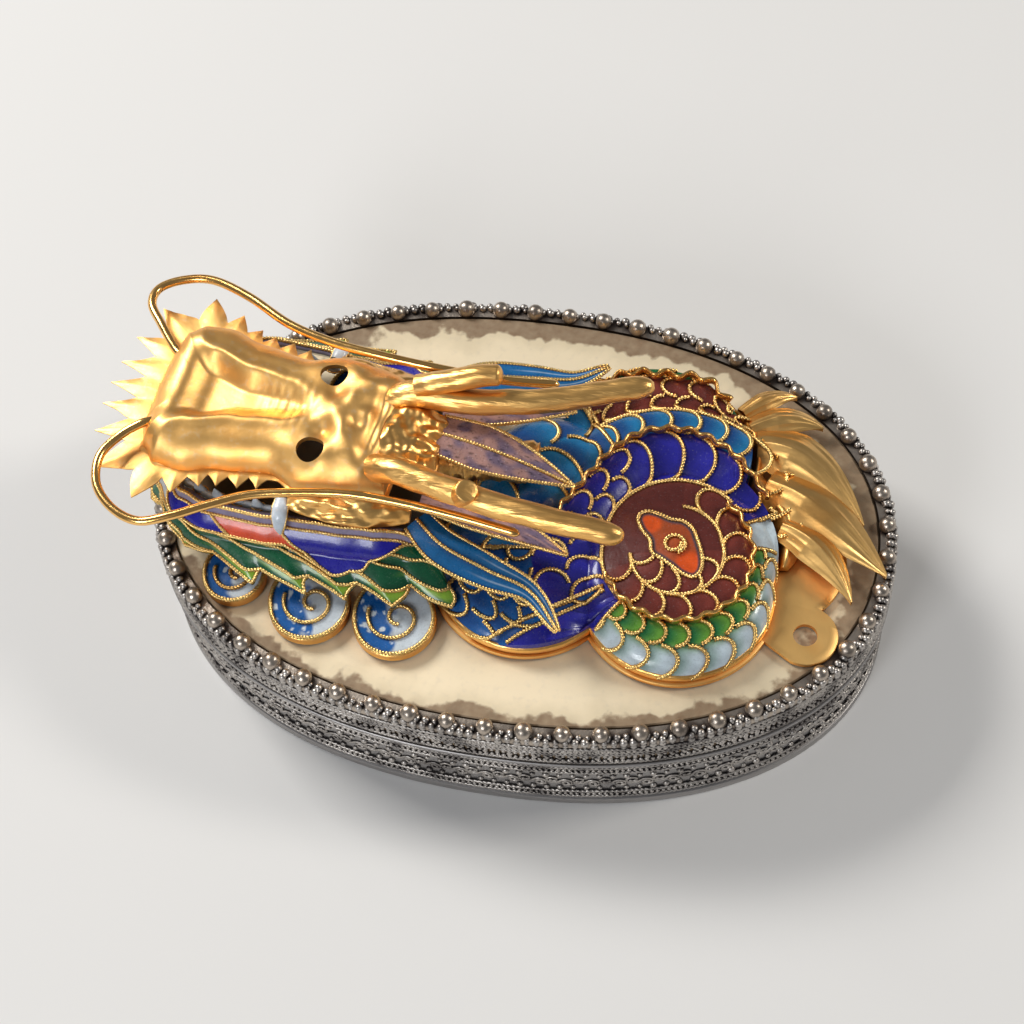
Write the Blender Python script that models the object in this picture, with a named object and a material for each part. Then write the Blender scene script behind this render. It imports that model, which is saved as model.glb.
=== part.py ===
"""An oval filigree box whose lid carries a cloisonne enamel dragon.

Lengths are in millimetres, and become metres where a mesh is made. +X runs along the box towards the
dragon's tail, -Y is the side seen in front, +Z is up, and the origin is the middle of the underside.
The dragon is drawn for a lid of 100 by 66.6, at heights above it, and stand() fits the drawing to the lid.
The head and what belongs to it are drawn in the head's own plan: forwards as shares of its length.
"""

import math

import bmesh
import bpy
from mathutils import Vector

METRES = 0.001
GAP = 0.3                      # clearance between pieces that are soldered or rest together

# The box
BOX_LENGTH = 100.0
BOX_WIDTH = 66.6
OVAL_POWER = 2.2               # 2 would be an ellipse
OVAL_SIDES = 40
WALL = 0.9
FLOOR = 1.0
BASE_HEIGHT = 12.9             # up to the ledge under the lid
BAND = 0.6                     # how far the wires and mouldings stand out from the wall
FOOT_HEIGHT = 1.3
BEAD_HEIGHT = 0.6
BEZEL = 0.8
BEZEL_CLEARANCE = 0.4
BEZEL_RISE = 3.6               # the collar that the lid slips over, above the ledge
BEZEL_OVERLAP = 4.0            # its soldered stretch inside the wall
LID_SKIRT = 5.8
LID_PLATE = 0.9

# The granulated border round the lid
GRANULE_COUNT = 52
GRANULE_DIAMETER = 2.4
GRANULE_SEAT = 0.6             # how deep the granules sink into their strip
BORDER_WALL = 0.3
BORDER_DROP = 2.4              # how far the strip hangs down the skirt
GRANULE_LIFT = 0.6             # granule centres above the lid's plate

LEDGE_Z = BASE_HEIGHT
LID_BOTTOM = LEDGE_Z + GAP
LID_TOP = LID_BOTTOM + LID_SKIRT

# The dragon
ALONG = BOX_LENGTH / 100
ACROSS = BOX_WIDTH / 66.6

PLATE_THICKNESS = 0.7
PLATE_Z = GAP
PLATE_TOP = PLATE_Z + PLATE_THICKNESS
PLATE_MARGIN = 0.5
BODY_Z = PLATE_TOP + GAP
BODY_SIDES = 45
BODY_EDGE = 0.5                # height of the body's rim above its own underside
COIL_EYE = (21.8, -6.3)
COIL_CREST_RADIUS = 9.7
COIL_CREST_HEIGHT = 3.4
COIL_EYE_HEIGHT = 4.9
COIL_DISCS = ((22.3, -9.8, 12.5), (22.3, -4.8, 12.4))
SHOULDER_DISC = (2.6, -9.2, 12.2)
BACK_DISC = (16.3, 9.0, 13.2)
NECK_ROOT_DISC = (3.0, 4.0, 9.5)
SHOULDER_HEIGHT = 3.6
NECK_ROOT_HEIGHT = 4.8
LUG_DISC = (39.3, -13.0, 3.7)
TAIL_ROOT_DISC = (33.5, -2.5, 9.5)
LUG_HOLE_DIAMETER = 3.1
LOOP_CREST = ((33.4, 2.0), (31.2, 4.8), (27.9, 8.2), (24.4, 10.4), (20.9, 11.5), (17.0, 11.2),
              (13.5, 9.4), (10.7, 6.2), (8.7, 2.6), (6.1, -2.4), (3.4, -8.6), (5.4, -17.0))
LOOP_HEIGHT = 4.4
LOOP_REACH = 6.4
BACK_CREST = ((5.8, 16.8), (8.2, 18.8), (12.0, 20.4), (17.0, 20.9), (22.0, 20.8), (25.4, 18.6))
BACK_HEIGHT = 2.9
BACK_REACH = 5.6
RIBBON_THICKNESS = 0.5
RIBBON_HEIGHT = 1.3
RIBBON_WAVE = 0.4
RIBBON_PITCH = 1.6             # half a wave of the crimped strip

WAVES = ((-35.2, -16.2, 4.2), (-24.4, -18.9, 5.4), (-13.0, -19.3, 5.5),
         (-35.6, 12.6, 4.6), (-24.6, 13.4, 4.8), (-13.8, 14.4, 4.8))
WAVE_RIM = 2.0
WAVE_DISH = 1.4
WAVE_BOSS = 2.2
WAVE_LEAN = 0.16

# The head, in its own plan: u forwards from the horns, v to the far side, height above the lid
HEAD_PIVOT = (-14.5, -0.2)
HEAD_YAW = math.radians(5.4)
HEAD_LENGTH = 34.0
HEAD_EDGE = 13.8
HEAD_WALL = 0.8
HEAD_HALF_WIDTHS = ((0.0, 8.4), (0.18, 9.7), (0.32, 10.2), (0.46, 8.7), (0.65, 9.6), (0.8, 11.0), (0.9, 10.7),
                    (0.96, 9.0), (0.99, 5.6), (1.0, 0.0))
SPINE_HEIGHTS = ((0.0, 16.2), (0.12, 18.2), (0.24, 18.8), (0.35, 17.8), (0.47, 16.8), (0.65, 16.2),
                 (0.82, 16.1), (0.94, 15.6), (1.0, 14.5))
RIDGE_OFFSETS = ((0.0, 4.0), (0.24, 3.8), (0.38, 3.6), (0.47, 4.6), (0.65, 6.5), (0.82, 8.0), (1.0, 8.6))
RIDGE_HEIGHTS = ((0.0, 0.2), (0.24, 0.3), (0.35, 0.6), (0.47, 1.7), (0.65, 2.2), (0.85, 2.4), (1.0, 1.6))
RIDGE_SPREAD = 1.7
MEDIAL = (0.15, 0.79)          # the shell's rings close on this stretch of the middle line
EYE_U = 0.31
EYE_V = 5.7
EYE_DIAMETER = 4.0
FRINGE_FROM = 0.43             # the toothed lip starts this far forwards
FRINGE_FRONT_FROM = 0.77       # and its long front teeth here
FRINGE_FRONT_BLEND = 0.17
FRINGE_SIDE = 2.4
FRINGE_FRONT = 7.2
FRINGE_ROOT = 0.9
FRINGE_FRONT_ROOT = 2.6        # the valleys between the long front teeth
FRINGE_PLAIN = 0.35
FRINGE_SIDE_PITCH = 2.7
FRINGE_FRONT_PITCH = 3.1
FRINGE_THICKNESS = 0.6
FRINGE_SLOPE = 0.1

JAW_HALF_WIDTHS = ((-0.21, 9.4), (-0.09, 10.6), (0.04, 11.8), (0.19, 12.4), (0.35, 12.8), (0.47, 13.3),
                   (0.68, 13.3), (0.79, 12.2), (0.88, 8.8), (0.91, 4.4), (0.925, 0.0))
JAW_LIP = 10.7
JAW_LIP_FALL = 3.0             # at the back end
JAW_WALL = 0.8
JAW_EDGE = 1.2                 # depth of the lip band
PANEL_REACH = 2.4
PANEL_FOOT = 6.9
BEARD_FOOT = 5.0
BEARD_TIP_DROP = 0.9
BEARD_THICKNESS = 0.5
BEARD_PITCH = 3.1
BEARD_REACH = 6.6
BEARD_ROOT = 4.6
BEARD_SWEEP = 4.2
CHIN_FROM = 0.56               # the beard shortens towards the chin from here
CHIN_BLEND = 0.24
TOOTH_COUNT = 6
TOOTH_SPAN = (0.41, 0.81)
TOOTH_HEIGHT = 1.7
TOOTH_WIDTH = 1.2
TOOTH_SEAT = 1.2
FANG_U = 0.37
FANG_RADII = (0.6, 0.75, 0.75, 0.55, 0.15)
FANG = ((0.6, -1.8, 1.7), (0.3, 0.0, 1.5), (0.1, 1.3, 0.4), (-0.1, 1.8, -0.9))
CHEEK_U = 0.15
CHEEK_LENGTH = 14.0
CHEEK_THICKNESS = 2.2
CHEEK_Z = 12.0
CHEEK_CLEARANCE = 0.9          # from the lip's inner side

WIRE_DIAMETER = 1.2
WHISKER_NEAR = ((0.977, -6.9, 16.4), (1.042, -9.0, 15.9), (1.085, -12.5, 15.8), (1.057, -16.3, 15.4),
                (0.966, -19.0, 15.2), (0.851, -20.0, 15.2), (0.732, -18.4, 15.6), (0.603, -15.7, 15.8),
                (0.471, -13.3, 16.0), (0.296, -11.6, 16.2), (0.116, -10.4, 16.4), (-0.078, -9.9, 16.2),
                (-0.308, -9.8, 15.8), (-0.54, -10.2, 15.6))
WHISKER_FAR = ((0.975, 5.4, 15.6), (1.073, 8.7, 15.9), (1.146, 11.6, 15.8), (1.145, 14.4, 15.6),
               (1.062, 16.5, 15.6), (0.943, 17.2, 15.8), (0.776, 15.6, 16.0), (0.579, 12.6, 16.2),
               (0.388, 11.1, 16.4), (0.192, 10.5, 16.6), (-0.051, 10.5, 16.4), (-0.285, 11.1, 15.8),
               (-0.509, 12.5, 15.4))
HORN_DIAMETER = 3.3
HORN_NEAR = ((-14.2, -6.6, 17.6), (-8.0, -8.4, 18.3), (0.2, -10.3, 18.7), (7.8, -11.4, 18.8),
             (15.8, -12.1, 18.6))
HORN_FAR = ((-14.0, 5.2, 17.4), (-9.0, 4.9, 17.5), (-3.5, 5.2, 17.7), (4.7, 6.7, 18.0), (11.0, 8.6, 18.4),
            (16.3, 10.0, 18.8))
TINE_NEAR = ((-4.9, -9.2, 18.4), (-4.3, -9.7, 19.9), (-3.9, -10.0, 21.2))
TINE_FAR = ((-13.4, 5.6, 18.4), (-9.5, 6.0, 20.0), (-5.5, 6.8, 21.0), (-2.6, 7.2, 21.2))
COLLAR_RADIUS = 1.6
COLLAR = ((-12.6, -3.2, 15.9), (-12.0, -1.4, 16.4), (-12.0, 0.2, 16.4), (-12.5, 1.4, 16.0))
NECK_RADIUS = 2.7
NECK = ((2.6, 2.0, 9.8), (-4.0, 1.2, 9.9), (-10.0, 0.4, 9.7), (-14.8, 0.0, 10.0), (-19.0, -0.4, 13.2))

LEAF_THICKNESS = 0.8
LEAVES = {
    "mane_leaf_centre": ((-10.6, 1.6, 14.2), (-2.4, 0.2, 14.4), (8.1, -2.8, 13.0), 3.5),
    "mane_leaf_near": ((-11.0, -6.3, 11.8), (-2.0, -7.6, 11.9), (8.8, -11.0, 9.6), 2.5),
    "mane_leaf_far": ((-11.0, 6.6, 11.8), (-2.0, 8.2, 12.4), (6.6, 9.2, 11.8), 2.5),
}
LEAF_ROOT = 0.85               # width at the root, as a share of the widest
LOCK_NEAR = ((-11.4, -9.0, 9.9), (-7.4, -12.2, 9.6), (-1.2, -14.4, 8.8), (4.6, -16.2, 8.3), (8.8, -20.6, 7.4))
LOCK_FAR = ((-11.4, 11.2, 9.9), (-7.4, 14.2, 8.8), (-1.2, 15.9, 7.6), (4.6, 17.2, 6.9), (8.8, 20.2, 6.6))
LOCK_HALF_WIDTH = 2.7
TAIL_BLADES = (
    ((28.0, 20.8), (31.0, 21.8), (34.4, 22.0), 1.3, 1.4),
    ((29.4, 18.0), (33.8, 18.8), (38.4, 17.4), 1.9, 1.9),
    ((30.8, 14.8), (36.6, 13.6), (45.2, 2.8), 3.1, 2.6),
    ((33.2, 8.6), (39.4, 4.4), (48.8, -4.2), 3.3, 2.7),
    ((36.0, 1.6), (40.8, -1.4), (44.6, -8.8), 1.9, 2.0),
)
TAIL_Z = PLATE_TOP + GAP
TAIL_ROOT_SIDES = (1, 10)       # of the body's sides, counted from +X
TAIL_ROOT_REACH = 4.4
TAIL_ROOT_EDGE = 1.1
TAIL_ROOT_CROWN = 2.3

METAL = 1.0
ENAMEL = 0.0


def material(name, colour, roughness, metallic):
    """The named finish, made once and shared."""
    made = bpy.data.materials.get(name) or bpy.data.materials.new(name)
    made.use_nodes = True
    shader = made.node_tree.nodes["Principled BSDF"]
    shader.inputs["Base Color"].default_value = (*colour, 1.0)
    shader.inputs["Roughness"].default_value = roughness
    shader.inputs["Metallic"].default_value = metallic
    return made


def gilt():
    return material("gilt", (0.86, 0.58, 0.20), 0.28, METAL)


def silver():
    return material("silver", (0.42, 0.40, 0.39), 0.38, METAL)


def pale_silver():
    return material("pale_silver", (0.74, 0.68, 0.56), 0.42, METAL)


def enamel(name, colour):
    return material(name, colour, 0.15, ENAMEL)


def stand(x, y, z):
    """A point of the dragon's drawing, set on the lid."""
    return Vector((x * ALONG, y * ACROSS, LID_TOP + z))


def interpolate(table, x):
    """The smooth value at x of a table of (x, value) pairs."""
    if x <= table[0][0]:
        return table[0][1]
    for (x0, y0), (x1, y1) in zip(table, table[1:]):
        if x <= x1:
            share = (x - x0) / (x1 - x0)
            return y0 + (y1 - y0) * share * share * (3 - 2 * share)
    return table[-1][1]


def smooth_path(points, count):
    """count points, evenly spread, on a Catmull-Rom curve through the given ones."""
    known = [Vector(p) for p in points]
    known = [2 * known[0] - known[1]] + known + [2 * known[-1] - known[-2]]
    steps = 12
    fine = []
    for i in range(1, len(known) - 2):
        p0, p1, p2, p3 = known[i - 1:i + 3]
        for j in range(steps):
            t = j / steps
            fine.append(0.5 * (2 * p1 + (p2 - p0) * t + (2 * p0 - 5 * p1 + 4 * p2 - p3) * t * t
                               + (3 * p1 - p0 - 3 * p2 + p3) * t ** 3))
    fine.append(known[-2])
    return spread(fine, count)


def spread(line, count):
    """count points at equal distances along a polyline."""
    reach = [0.0]
    for a, b in zip(line, line[1:]):
        reach.append(reach[-1] + (b - a).length)
    made, j = [], 0
    for i in range(count):
        want = reach[-1] * i / (count - 1)
        while j < len(line) - 2 and reach[j + 1] < want:
            j += 1
        step = reach[j + 1] - reach[j]
        made.append(line[j].lerp(line[j + 1], (want - reach[j]) / step if step else 0.0))
    return made


def make(name, mesh, finish):
    """The object of that name from a bmesh in millimetres."""
    bmesh.ops.recalc_face_normals(mesh, faces=mesh.faces)
    for vert in mesh.verts:
        vert.co *= METRES
    data = bpy.data.meshes.new(name)
    mesh.to_mesh(data)
    mesh.free()
    data.materials.append(finish)
    made = bpy.data.objects.new(name, data)
    bpy.context.scene.collection.objects.link(made)
    return made


BRIDGE = "bridge"


def close_end(mesh, row, centre):
    """Close one end of a skin: a fan to a centre, or a bridge between the row's mirrored halves."""
    count = len(row)
    if centre is BRIDGE:
        near, far = 0, count - 1
        while far - near >= 3:
            mesh.faces.new((row[near], row[near + 1], row[far - 1], row[far]))
            near, far = near + 1, far - 1
        if far - near == 2:
            mesh.faces.new((row[near], row[near + 1], row[far]))
        return
    hub = mesh.verts.new(centre if centre is not None else sum((v.co for v in row), Vector()) / count)
    for i in range(count):
        mesh.faces.new((row[i], row[(i + 1) % count], hub))


def skin(rings, first_centre=None, last_centre=None):
    """A closed bmesh through rings of equal count, closed at each end."""
    mesh = bmesh.new()
    rows = [[mesh.verts.new(p) for p in ring] for ring in rings]
    count = len(rows[0])
    for low, high in zip(rows, rows[1:]):
        for i in range(count):
            j = (i + 1) % count
            mesh.faces.new((low[i], low[j], high[j], high[i]))
    close_end(mesh, rows[0], first_centre)
    close_end(mesh, rows[-1], last_centre)
    return mesh


def soften(made, angle=35):
    """Round pieces are shaded smooth, with their real edges kept."""
    made.data.shade_smooth()
    made.data.set_sharp_from_angle(angle=math.radians(angle))
    return made


def oval_point(inset, angle, z):
    """A point on the box's oval, drawn in from the outermost line by inset."""
    half_length, half_width = BOX_LENGTH / 2 - inset, BOX_WIDTH / 2 - inset
    c, s = math.cos(angle), math.sin(angle)
    size = (abs(c / half_length) ** OVAL_POWER + abs(s / half_width) ** OVAL_POWER) ** (-1 / OVAL_POWER)
    return Vector((size * c, size * s, z))


def oval_angles(count):
    """Angles that part the oval into equal lengths."""
    fine = [oval_point(0, 2 * math.pi * i / 720, 0) for i in range(721)]
    return [math.atan2(p.y, p.x) for p in spread(fine, count + 1)[:-1]]


def oval_skin(profile, sides=OVAL_SIDES):
    """A solid whose rings are ovals; the profile lists (inset, z)."""
    angles = oval_angles(sides)
    return skin([[oval_point(inset, a, z) for a in angles] for inset, z in profile])


def box_base():
    """The box itself: wall, floor, foot and the collar that the lid slips over."""
    inner = BAND + WALL
    collar_outer = inner + BEZEL_CLEARANCE
    collar_inner = collar_outer + BEZEL
    collar_top = LEDGE_Z + BEZEL_RISE
    collar_foot = LEDGE_Z - BEZEL_OVERLAP
    profile = (
        (0, 0), (0, FOOT_HEIGHT), (BAND, FOOT_HEIGHT + BAND / 2), (BAND, LEDGE_Z - BEAD_HEIGHT - BAND / 2),
        (0, LEDGE_Z - BEAD_HEIGHT), (0, LEDGE_Z), (collar_outer, LEDGE_Z), (collar_outer, collar_top),
        (collar_inner, collar_top), (collar_inner, collar_foot), (inner, collar_foot - WALL), (inner, FLOOR),
    )
    return soften(make("box_base", oval_skin(profile), silver()))


def box_lid():
    """The lid's plate and skirt, with a stepped edge on which the granulated border sits."""
    inner = BAND + WALL
    step = GRANULE_DIAMETER + GAP
    step_z = LID_TOP + GRANULE_LIFT - GRANULE_DIAMETER / 2 - GAP
    profile = (
        (step + WALL, LID_TOP - LID_PLATE), (inner, step_z - WALL), (inner, LID_BOTTOM),
        (BAND, LID_BOTTOM), (BAND, step_z), (step, step_z), (step, LID_TOP),
    )
    return soften(make("box_lid", oval_skin(profile), pale_silver()))


def granule_border():
    """The angled strip soldered round the lid, with its row of large granules."""
    outer = BAND - GAP - BORDER_WALL
    radius = GRANULE_DIAMETER / 2
    low = LID_TOP + GRANULE_LIFT - radius
    top = low + GRANULE_SEAT
    angles = oval_angles(GRANULE_COUNT)
    mesh = bmesh.new()
    section = ((BAND - GAP, low - BORDER_DROP), (outer, low - BORDER_DROP), (outer, top),
               (GRANULE_DIAMETER, top), (GRANULE_DIAMETER, low), (BAND - GAP, low))
    rows = [[mesh.verts.new(oval_point(inset, a, z)) for inset, z in section] for a in angles]
    for one, other in zip(rows, rows[1:] + rows[:1]):
        for i in range(len(section)):
            j = (i + 1) % len(section)
            mesh.faces.new((one[i], one[j], other[j], other[i]))
    made = make("granule_border", mesh, silver())
    grains = bmesh.new()
    for a in angles:
        grain = bmesh.ops.create_icosphere(grains, subdivisions=1, radius=radius)
        bmesh.ops.translate(grains, verts=grain["verts"], vec=oval_point(radius, a, LID_TOP + GRANULE_LIFT))
    join(made, make("granules", grains, silver()), "UNION")
    return soften(made)


def join(target, tool, operation):
    """A Boolean on target with a hidden tool."""
    tool.hide_render = True
    tool.display_type = "WIRE"
    cut = target.modifiers.new(tool.name, "BOOLEAN")
    cut.object = tool
    cut.operation = operation
    cut.solver = "EXACT"
    return target


def reach(centre, angle, discs, margin=0.0):
    """How far a ray from centre runs before it leaves the last of the discs."""
    direction = Vector((math.cos(angle), math.sin(angle)))
    furthest = 0.0
    for x, y, radius in discs:
        to_disc = Vector((x - centre[0], y - centre[1]))
        along = to_disc.dot(direction)
        off = abs(to_disc.cross(direction))
        if off < radius + margin:
            furthest = max(furthest, along + math.sqrt((radius + margin) ** 2 - off ** 2))
    return furthest


BODY_DISCS = (*COIL_DISCS, SHOULDER_DISC, BACK_DISC, NECK_ROOT_DISC)
LOOP_LINE = smooth_path([(x, y, 0) for x, y in LOOP_CREST], 40)
BACK_LINE = smooth_path([(x, y, 0) for x, y in BACK_CREST], 20)


def round_over(share):
    """A quarter round: 1 at share 0, falling to 0 at 1 and beyond."""
    return math.sqrt(max(0.0, 1 - share * share))


def ridge(point, line, height, width, fade):
    """Height of a half-round ridge along a line, sinking towards the ends that fade names."""
    nearest = min(range(len(line)), key=lambda i: (line[i] - point).length_squared)
    share = nearest / (len(line) - 1)
    sink = min(1.0, share / fade[0] if fade[0] else 1.0, (1 - share) / fade[1] if fade[1] else 1.0)
    return height * (0.55 + 0.45 * sink) * round_over((line[nearest] - point).length / width)


def body_height(x, y):
    """Height of the dragon's coils above the body's rim, from its discs and crest lines."""
    point = Vector((x, y, 0))
    from_eye = point - Vector((*COIL_EYE, 0))
    if from_eye.length < COIL_CREST_RADIUS:
        share = from_eye.length / COIL_CREST_RADIUS
        coil = COIL_EYE_HEIGHT - (COIL_EYE_HEIGHT - COIL_CREST_HEIGHT) * share
    else:
        edge = reach(COIL_EYE, math.atan2(from_eye.y, from_eye.x), COIL_DISCS)
        coil = COIL_CREST_HEIGHT * round_over((from_eye.length - COIL_CREST_RADIUS) / (edge - COIL_CREST_RADIUS))
    heights = [coil, ridge(point, LOOP_LINE, LOOP_HEIGHT, LOOP_REACH, (0.15, 0.3)),
               ridge(point, BACK_LINE, BACK_HEIGHT, BACK_REACH, (0.3, 0.2))]
    for (cx, cy, radius), height in ((SHOULDER_DISC, SHOULDER_HEIGHT), (NECK_ROOT_DISC, NECK_ROOT_HEIGHT)):
        heights.append(height * round_over(math.hypot(x - cx, y - cy) / radius))
    return max(0.0, *heights)


def dragon_body():
    """The coiled body, one relief over its plate, in rings about the coil's eye."""
    inner = (0.5, 1.0)
    outer = (0.16, 0.34, 0.52, 0.72, 0.9, 1.0)
    angles = [2 * math.pi * i / BODY_SIDES for i in range(BODY_SIDES)]
    edges = [reach(COIL_EYE, a, BODY_DISCS) for a in angles]
    spans = [[COIL_CREST_RADIUS * f for f in inner]
             + [COIL_CREST_RADIUS + (edge - COIL_CREST_RADIUS) * f for f in outer] for edge in edges]
    rings = []
    for k in reversed(range(len(inner) + len(outer))):
        ring = []
        for a, span in zip(angles, spans):
            x = COIL_EYE[0] + span[k] * math.cos(a)
            y = COIL_EYE[1] + span[k] * math.sin(a)
            ring.append(stand(x, y, BODY_Z + BODY_EDGE + body_height(x, y)))
        rings.append(ring)
    foot = [Vector((p.x, p.y, stand(0, 0, BODY_Z).z)) for p in rings[0]]
    eye = stand(*COIL_EYE, BODY_Z + BODY_EDGE + COIL_EYE_HEIGHT)
    mesh = skin([foot] + rings, first_centre=stand(*COIL_EYE, BODY_Z), last_centre=eye)
    return soften(make("dragon_body", mesh, enamel("cobalt_enamel", (0.04, 0.05, 0.35))))


def back_plate():
    """The gilt plate under body and tail, with the lug that was drilled for sewing or hanging."""
    sides = 60
    discs = (*BODY_DISCS, LUG_DISC, TAIL_ROOT_DISC)
    angles = [2 * math.pi * i / sides for i in range(sides)]
    rings = []
    for z in (PLATE_Z, PLATE_TOP):
        ring = []
        for a in angles:
            span = reach(COIL_EYE, a, discs, PLATE_MARGIN)
            ring.append(stand(COIL_EYE[0] + span * math.cos(a), COIL_EYE[1] + span * math.sin(a), z))
        rings.append(ring)
    mesh = skin(rings, stand(*COIL_EYE, PLATE_Z), stand(*COIL_EYE, PLATE_TOP))
    made = make("back_plate", mesh, gilt())
    radius = LUG_HOLE_DIAMETER / 2
    hole = skin([[stand(LUG_DISC[0] + radius * math.cos(2 * math.pi * i / 12),
                        LUG_DISC[1] + radius * math.sin(2 * math.pi * i / 12), z) for i in range(12)]
                 for z in (PLATE_Z - 1, PLATE_TOP + 1)])
    return join(made, make("lug_hole", hole, gilt()), "DIFFERENCE")


def ribbon(name, line):
    """A crimped gilt strip standing along a crest line, just clear of the body."""
    length = sum((b - a).length for a, b in zip(line, line[1:]))
    path = spread(line, max(4, round(length / RIBBON_PITCH) + 1))
    sections = []
    for i, point in enumerate(path):
        before, after = path[max(0, i - 1)], path[min(len(path) - 1, i + 1)]
        along = (after - before).normalized()
        side = Vector((-along.y, along.x, 0))
        wave = RIBBON_WAVE if i % 2 else -RIBBON_WAVE
        edges = [point + side * (wave + half * RIBBON_THICKNESS) for half in (-0.5, 0.5)]
        low = BODY_Z + BODY_EDGE + GAP + max(body_height(p.x, p.y) for p in (*edges, point))
        sections.append([stand(edges[0].x, edges[0].y, low), stand(edges[1].x, edges[1].y, low),
                         stand(edges[1].x, edges[1].y, low + RIBBON_HEIGHT),
                         stand(edges[0].x, edges[0].y, low + RIBBON_HEIGHT)])
    return make(name, skin(sections), gilt())


def coil_ring_line():
    """The coil's own crest: three quarters of a ring round its eye."""
    return [Vector((COIL_EYE[0] + COIL_CREST_RADIUS * math.cos(math.radians(a)),
                    COIL_EYE[1] + COIL_CREST_RADIUS * math.sin(math.radians(a)), 0)) for a in range(-152, 56, 6)]


def wave_scroll(name, x, y, radius):
    """One curling wave: a raised rim round a dished face with a boss."""
    sides = 12
    profile = ((1.0, GAP), (1.0, 0.6 * WAVE_RIM), (0.9, WAVE_RIM), (0.76, WAVE_RIM), (0.62, WAVE_DISH))
    rings = []
    for share, z in profile:
        ring = []
        for i in range(sides):
            a = 2 * math.pi * i / sides
            span = radius * share * (1 + WAVE_LEAN * max(0.0, math.cos(a - math.radians(115))) ** 2)
            ring.append(stand(x + span * math.cos(a), y + span * math.sin(a), z))
        rings.append(ring)
    boss = stand(x, y, WAVE_BOSS)
    return soften(make(name, skin(rings, None, boss), enamel("white_enamel", (0.80, 0.86, 0.92))), 30)


def blade(base, middle, tip, half_width, crown, thickness, root=0.4, stations=7):
    """A pointed leaf along a curve from base to tip, with a crowned face. It is widest a third along."""
    b, m, t = Vector(base), Vector(middle), Vector(tip)
    sections = []
    for i in range(stations):
        s = 0.97 * i / (stations - 1)
        point = b * (1 - s) ** 2 + m * 2 * s * (1 - s) + t * s * s
        along = ((m - b) * (1 - s) + (t - m) * s).normalized()
        side = Vector((-along.y, along.x, 0)).normalized()
        share = root + (1 - root) * s / 0.33 if s < 0.33 else 1 - ((s - 0.33) / 0.67) ** 1.7
        swell = max(half_width * share, 0.12)
        rise = crown * swell / half_width
        sections.append([stand(*(point - side * swell)), stand(*(point - Vector((0, 0, thickness)))),
                         stand(*(point + side * swell)), stand(*(point + Vector((0, 0, rise))))])
    return skin(sections, last_centre=stand(*t))


def tail_fin():
    """The gilt tail: pointed blades that spring from the coil and lap over each other."""
    made = None
    for i, (base, middle, tip, half_width, crown) in enumerate(TAIL_BLADES):
        z = TAIL_Z + 0.9 + 0.25 * i
        mesh = blade((*base, z), (*middle, z + 0.6), (*tip, z), half_width, crown, 0.9)
        if made is None:
            made = make("tail_fin", mesh, gilt())
        else:
            join(made, make(f"tail_blade_{i}", mesh, gilt()), "UNION")
    sections = []
    for i in range(TAIL_ROOT_SIDES[0], TAIL_ROOT_SIDES[1] + 1):
        a = 2 * math.pi * i / BODY_SIDES
        near = reach(COIL_EYE, a, BODY_DISCS) + 1.5 * GAP
        section = []
        for out, z in ((0, 0), (TAIL_ROOT_REACH, 0), (TAIL_ROOT_REACH, TAIL_ROOT_EDGE), (0, TAIL_ROOT_CROWN)):
            span = near + out
            section.append(stand(COIL_EYE[0] + span * math.cos(a), COIL_EYE[1] + span * math.sin(a), TAIL_Z + z))
        sections.append(section)
    return soften(join(made, make("tail_root", skin(sections), gilt()), "UNION"))


def head_point(share, v, z):
    """A point of the head's own plan, turned and set on the lid."""
    u = share * HEAD_LENGTH
    c, s = math.cos(HEAD_YAW), math.sin(HEAD_YAW)
    return stand(HEAD_PIVOT[0] - u * c + v * s, HEAD_PIVOT[1] + u * s + v * c, z)


def head_height(share, v):
    """Height of the head's skin above the lid."""
    half = max(0.5, interpolate(HEAD_HALF_WIDTHS, share))
    across = min(1.0, abs(v) / half)
    spine = interpolate(SPINE_HEIGHTS, share)
    ridge_at = interpolate(RIDGE_OFFSETS, share)
    lift = interpolate(RIDGE_HEIGHTS, share) * math.exp(-((abs(v) - ridge_at) / RIDGE_SPREAD) ** 2)
    dome = (1 - across ** 4) ** 0.5
    return HEAD_EDGE + (spine - HEAD_EDGE + lift) * dome


def head_outline(half_widths, steps=60):
    """The plan outline from the near side's back, round the front, to the far side's back, in (u, v)."""
    start, front = half_widths[0][0], half_widths[-1][0]
    near = []
    for i in range(steps + 1):
        share = start + (front - start) * math.sin(math.pi / 2 * i / steps)
        near.append(Vector((share * HEAD_LENGTH, -interpolate(half_widths, share), 0)))
    return near + [Vector((p.x, -p.y, 0)) for p in reversed(near[:-1])]


def along_line(line, distance):
    """The point of a polyline at a distance from its start."""
    for a, b in zip(line, line[1:]):
        step = (b - a).length
        if distance <= step:
            return a.lerp(b, distance / step if step else 0.0)
        distance -= step
    return line[-1]


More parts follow.
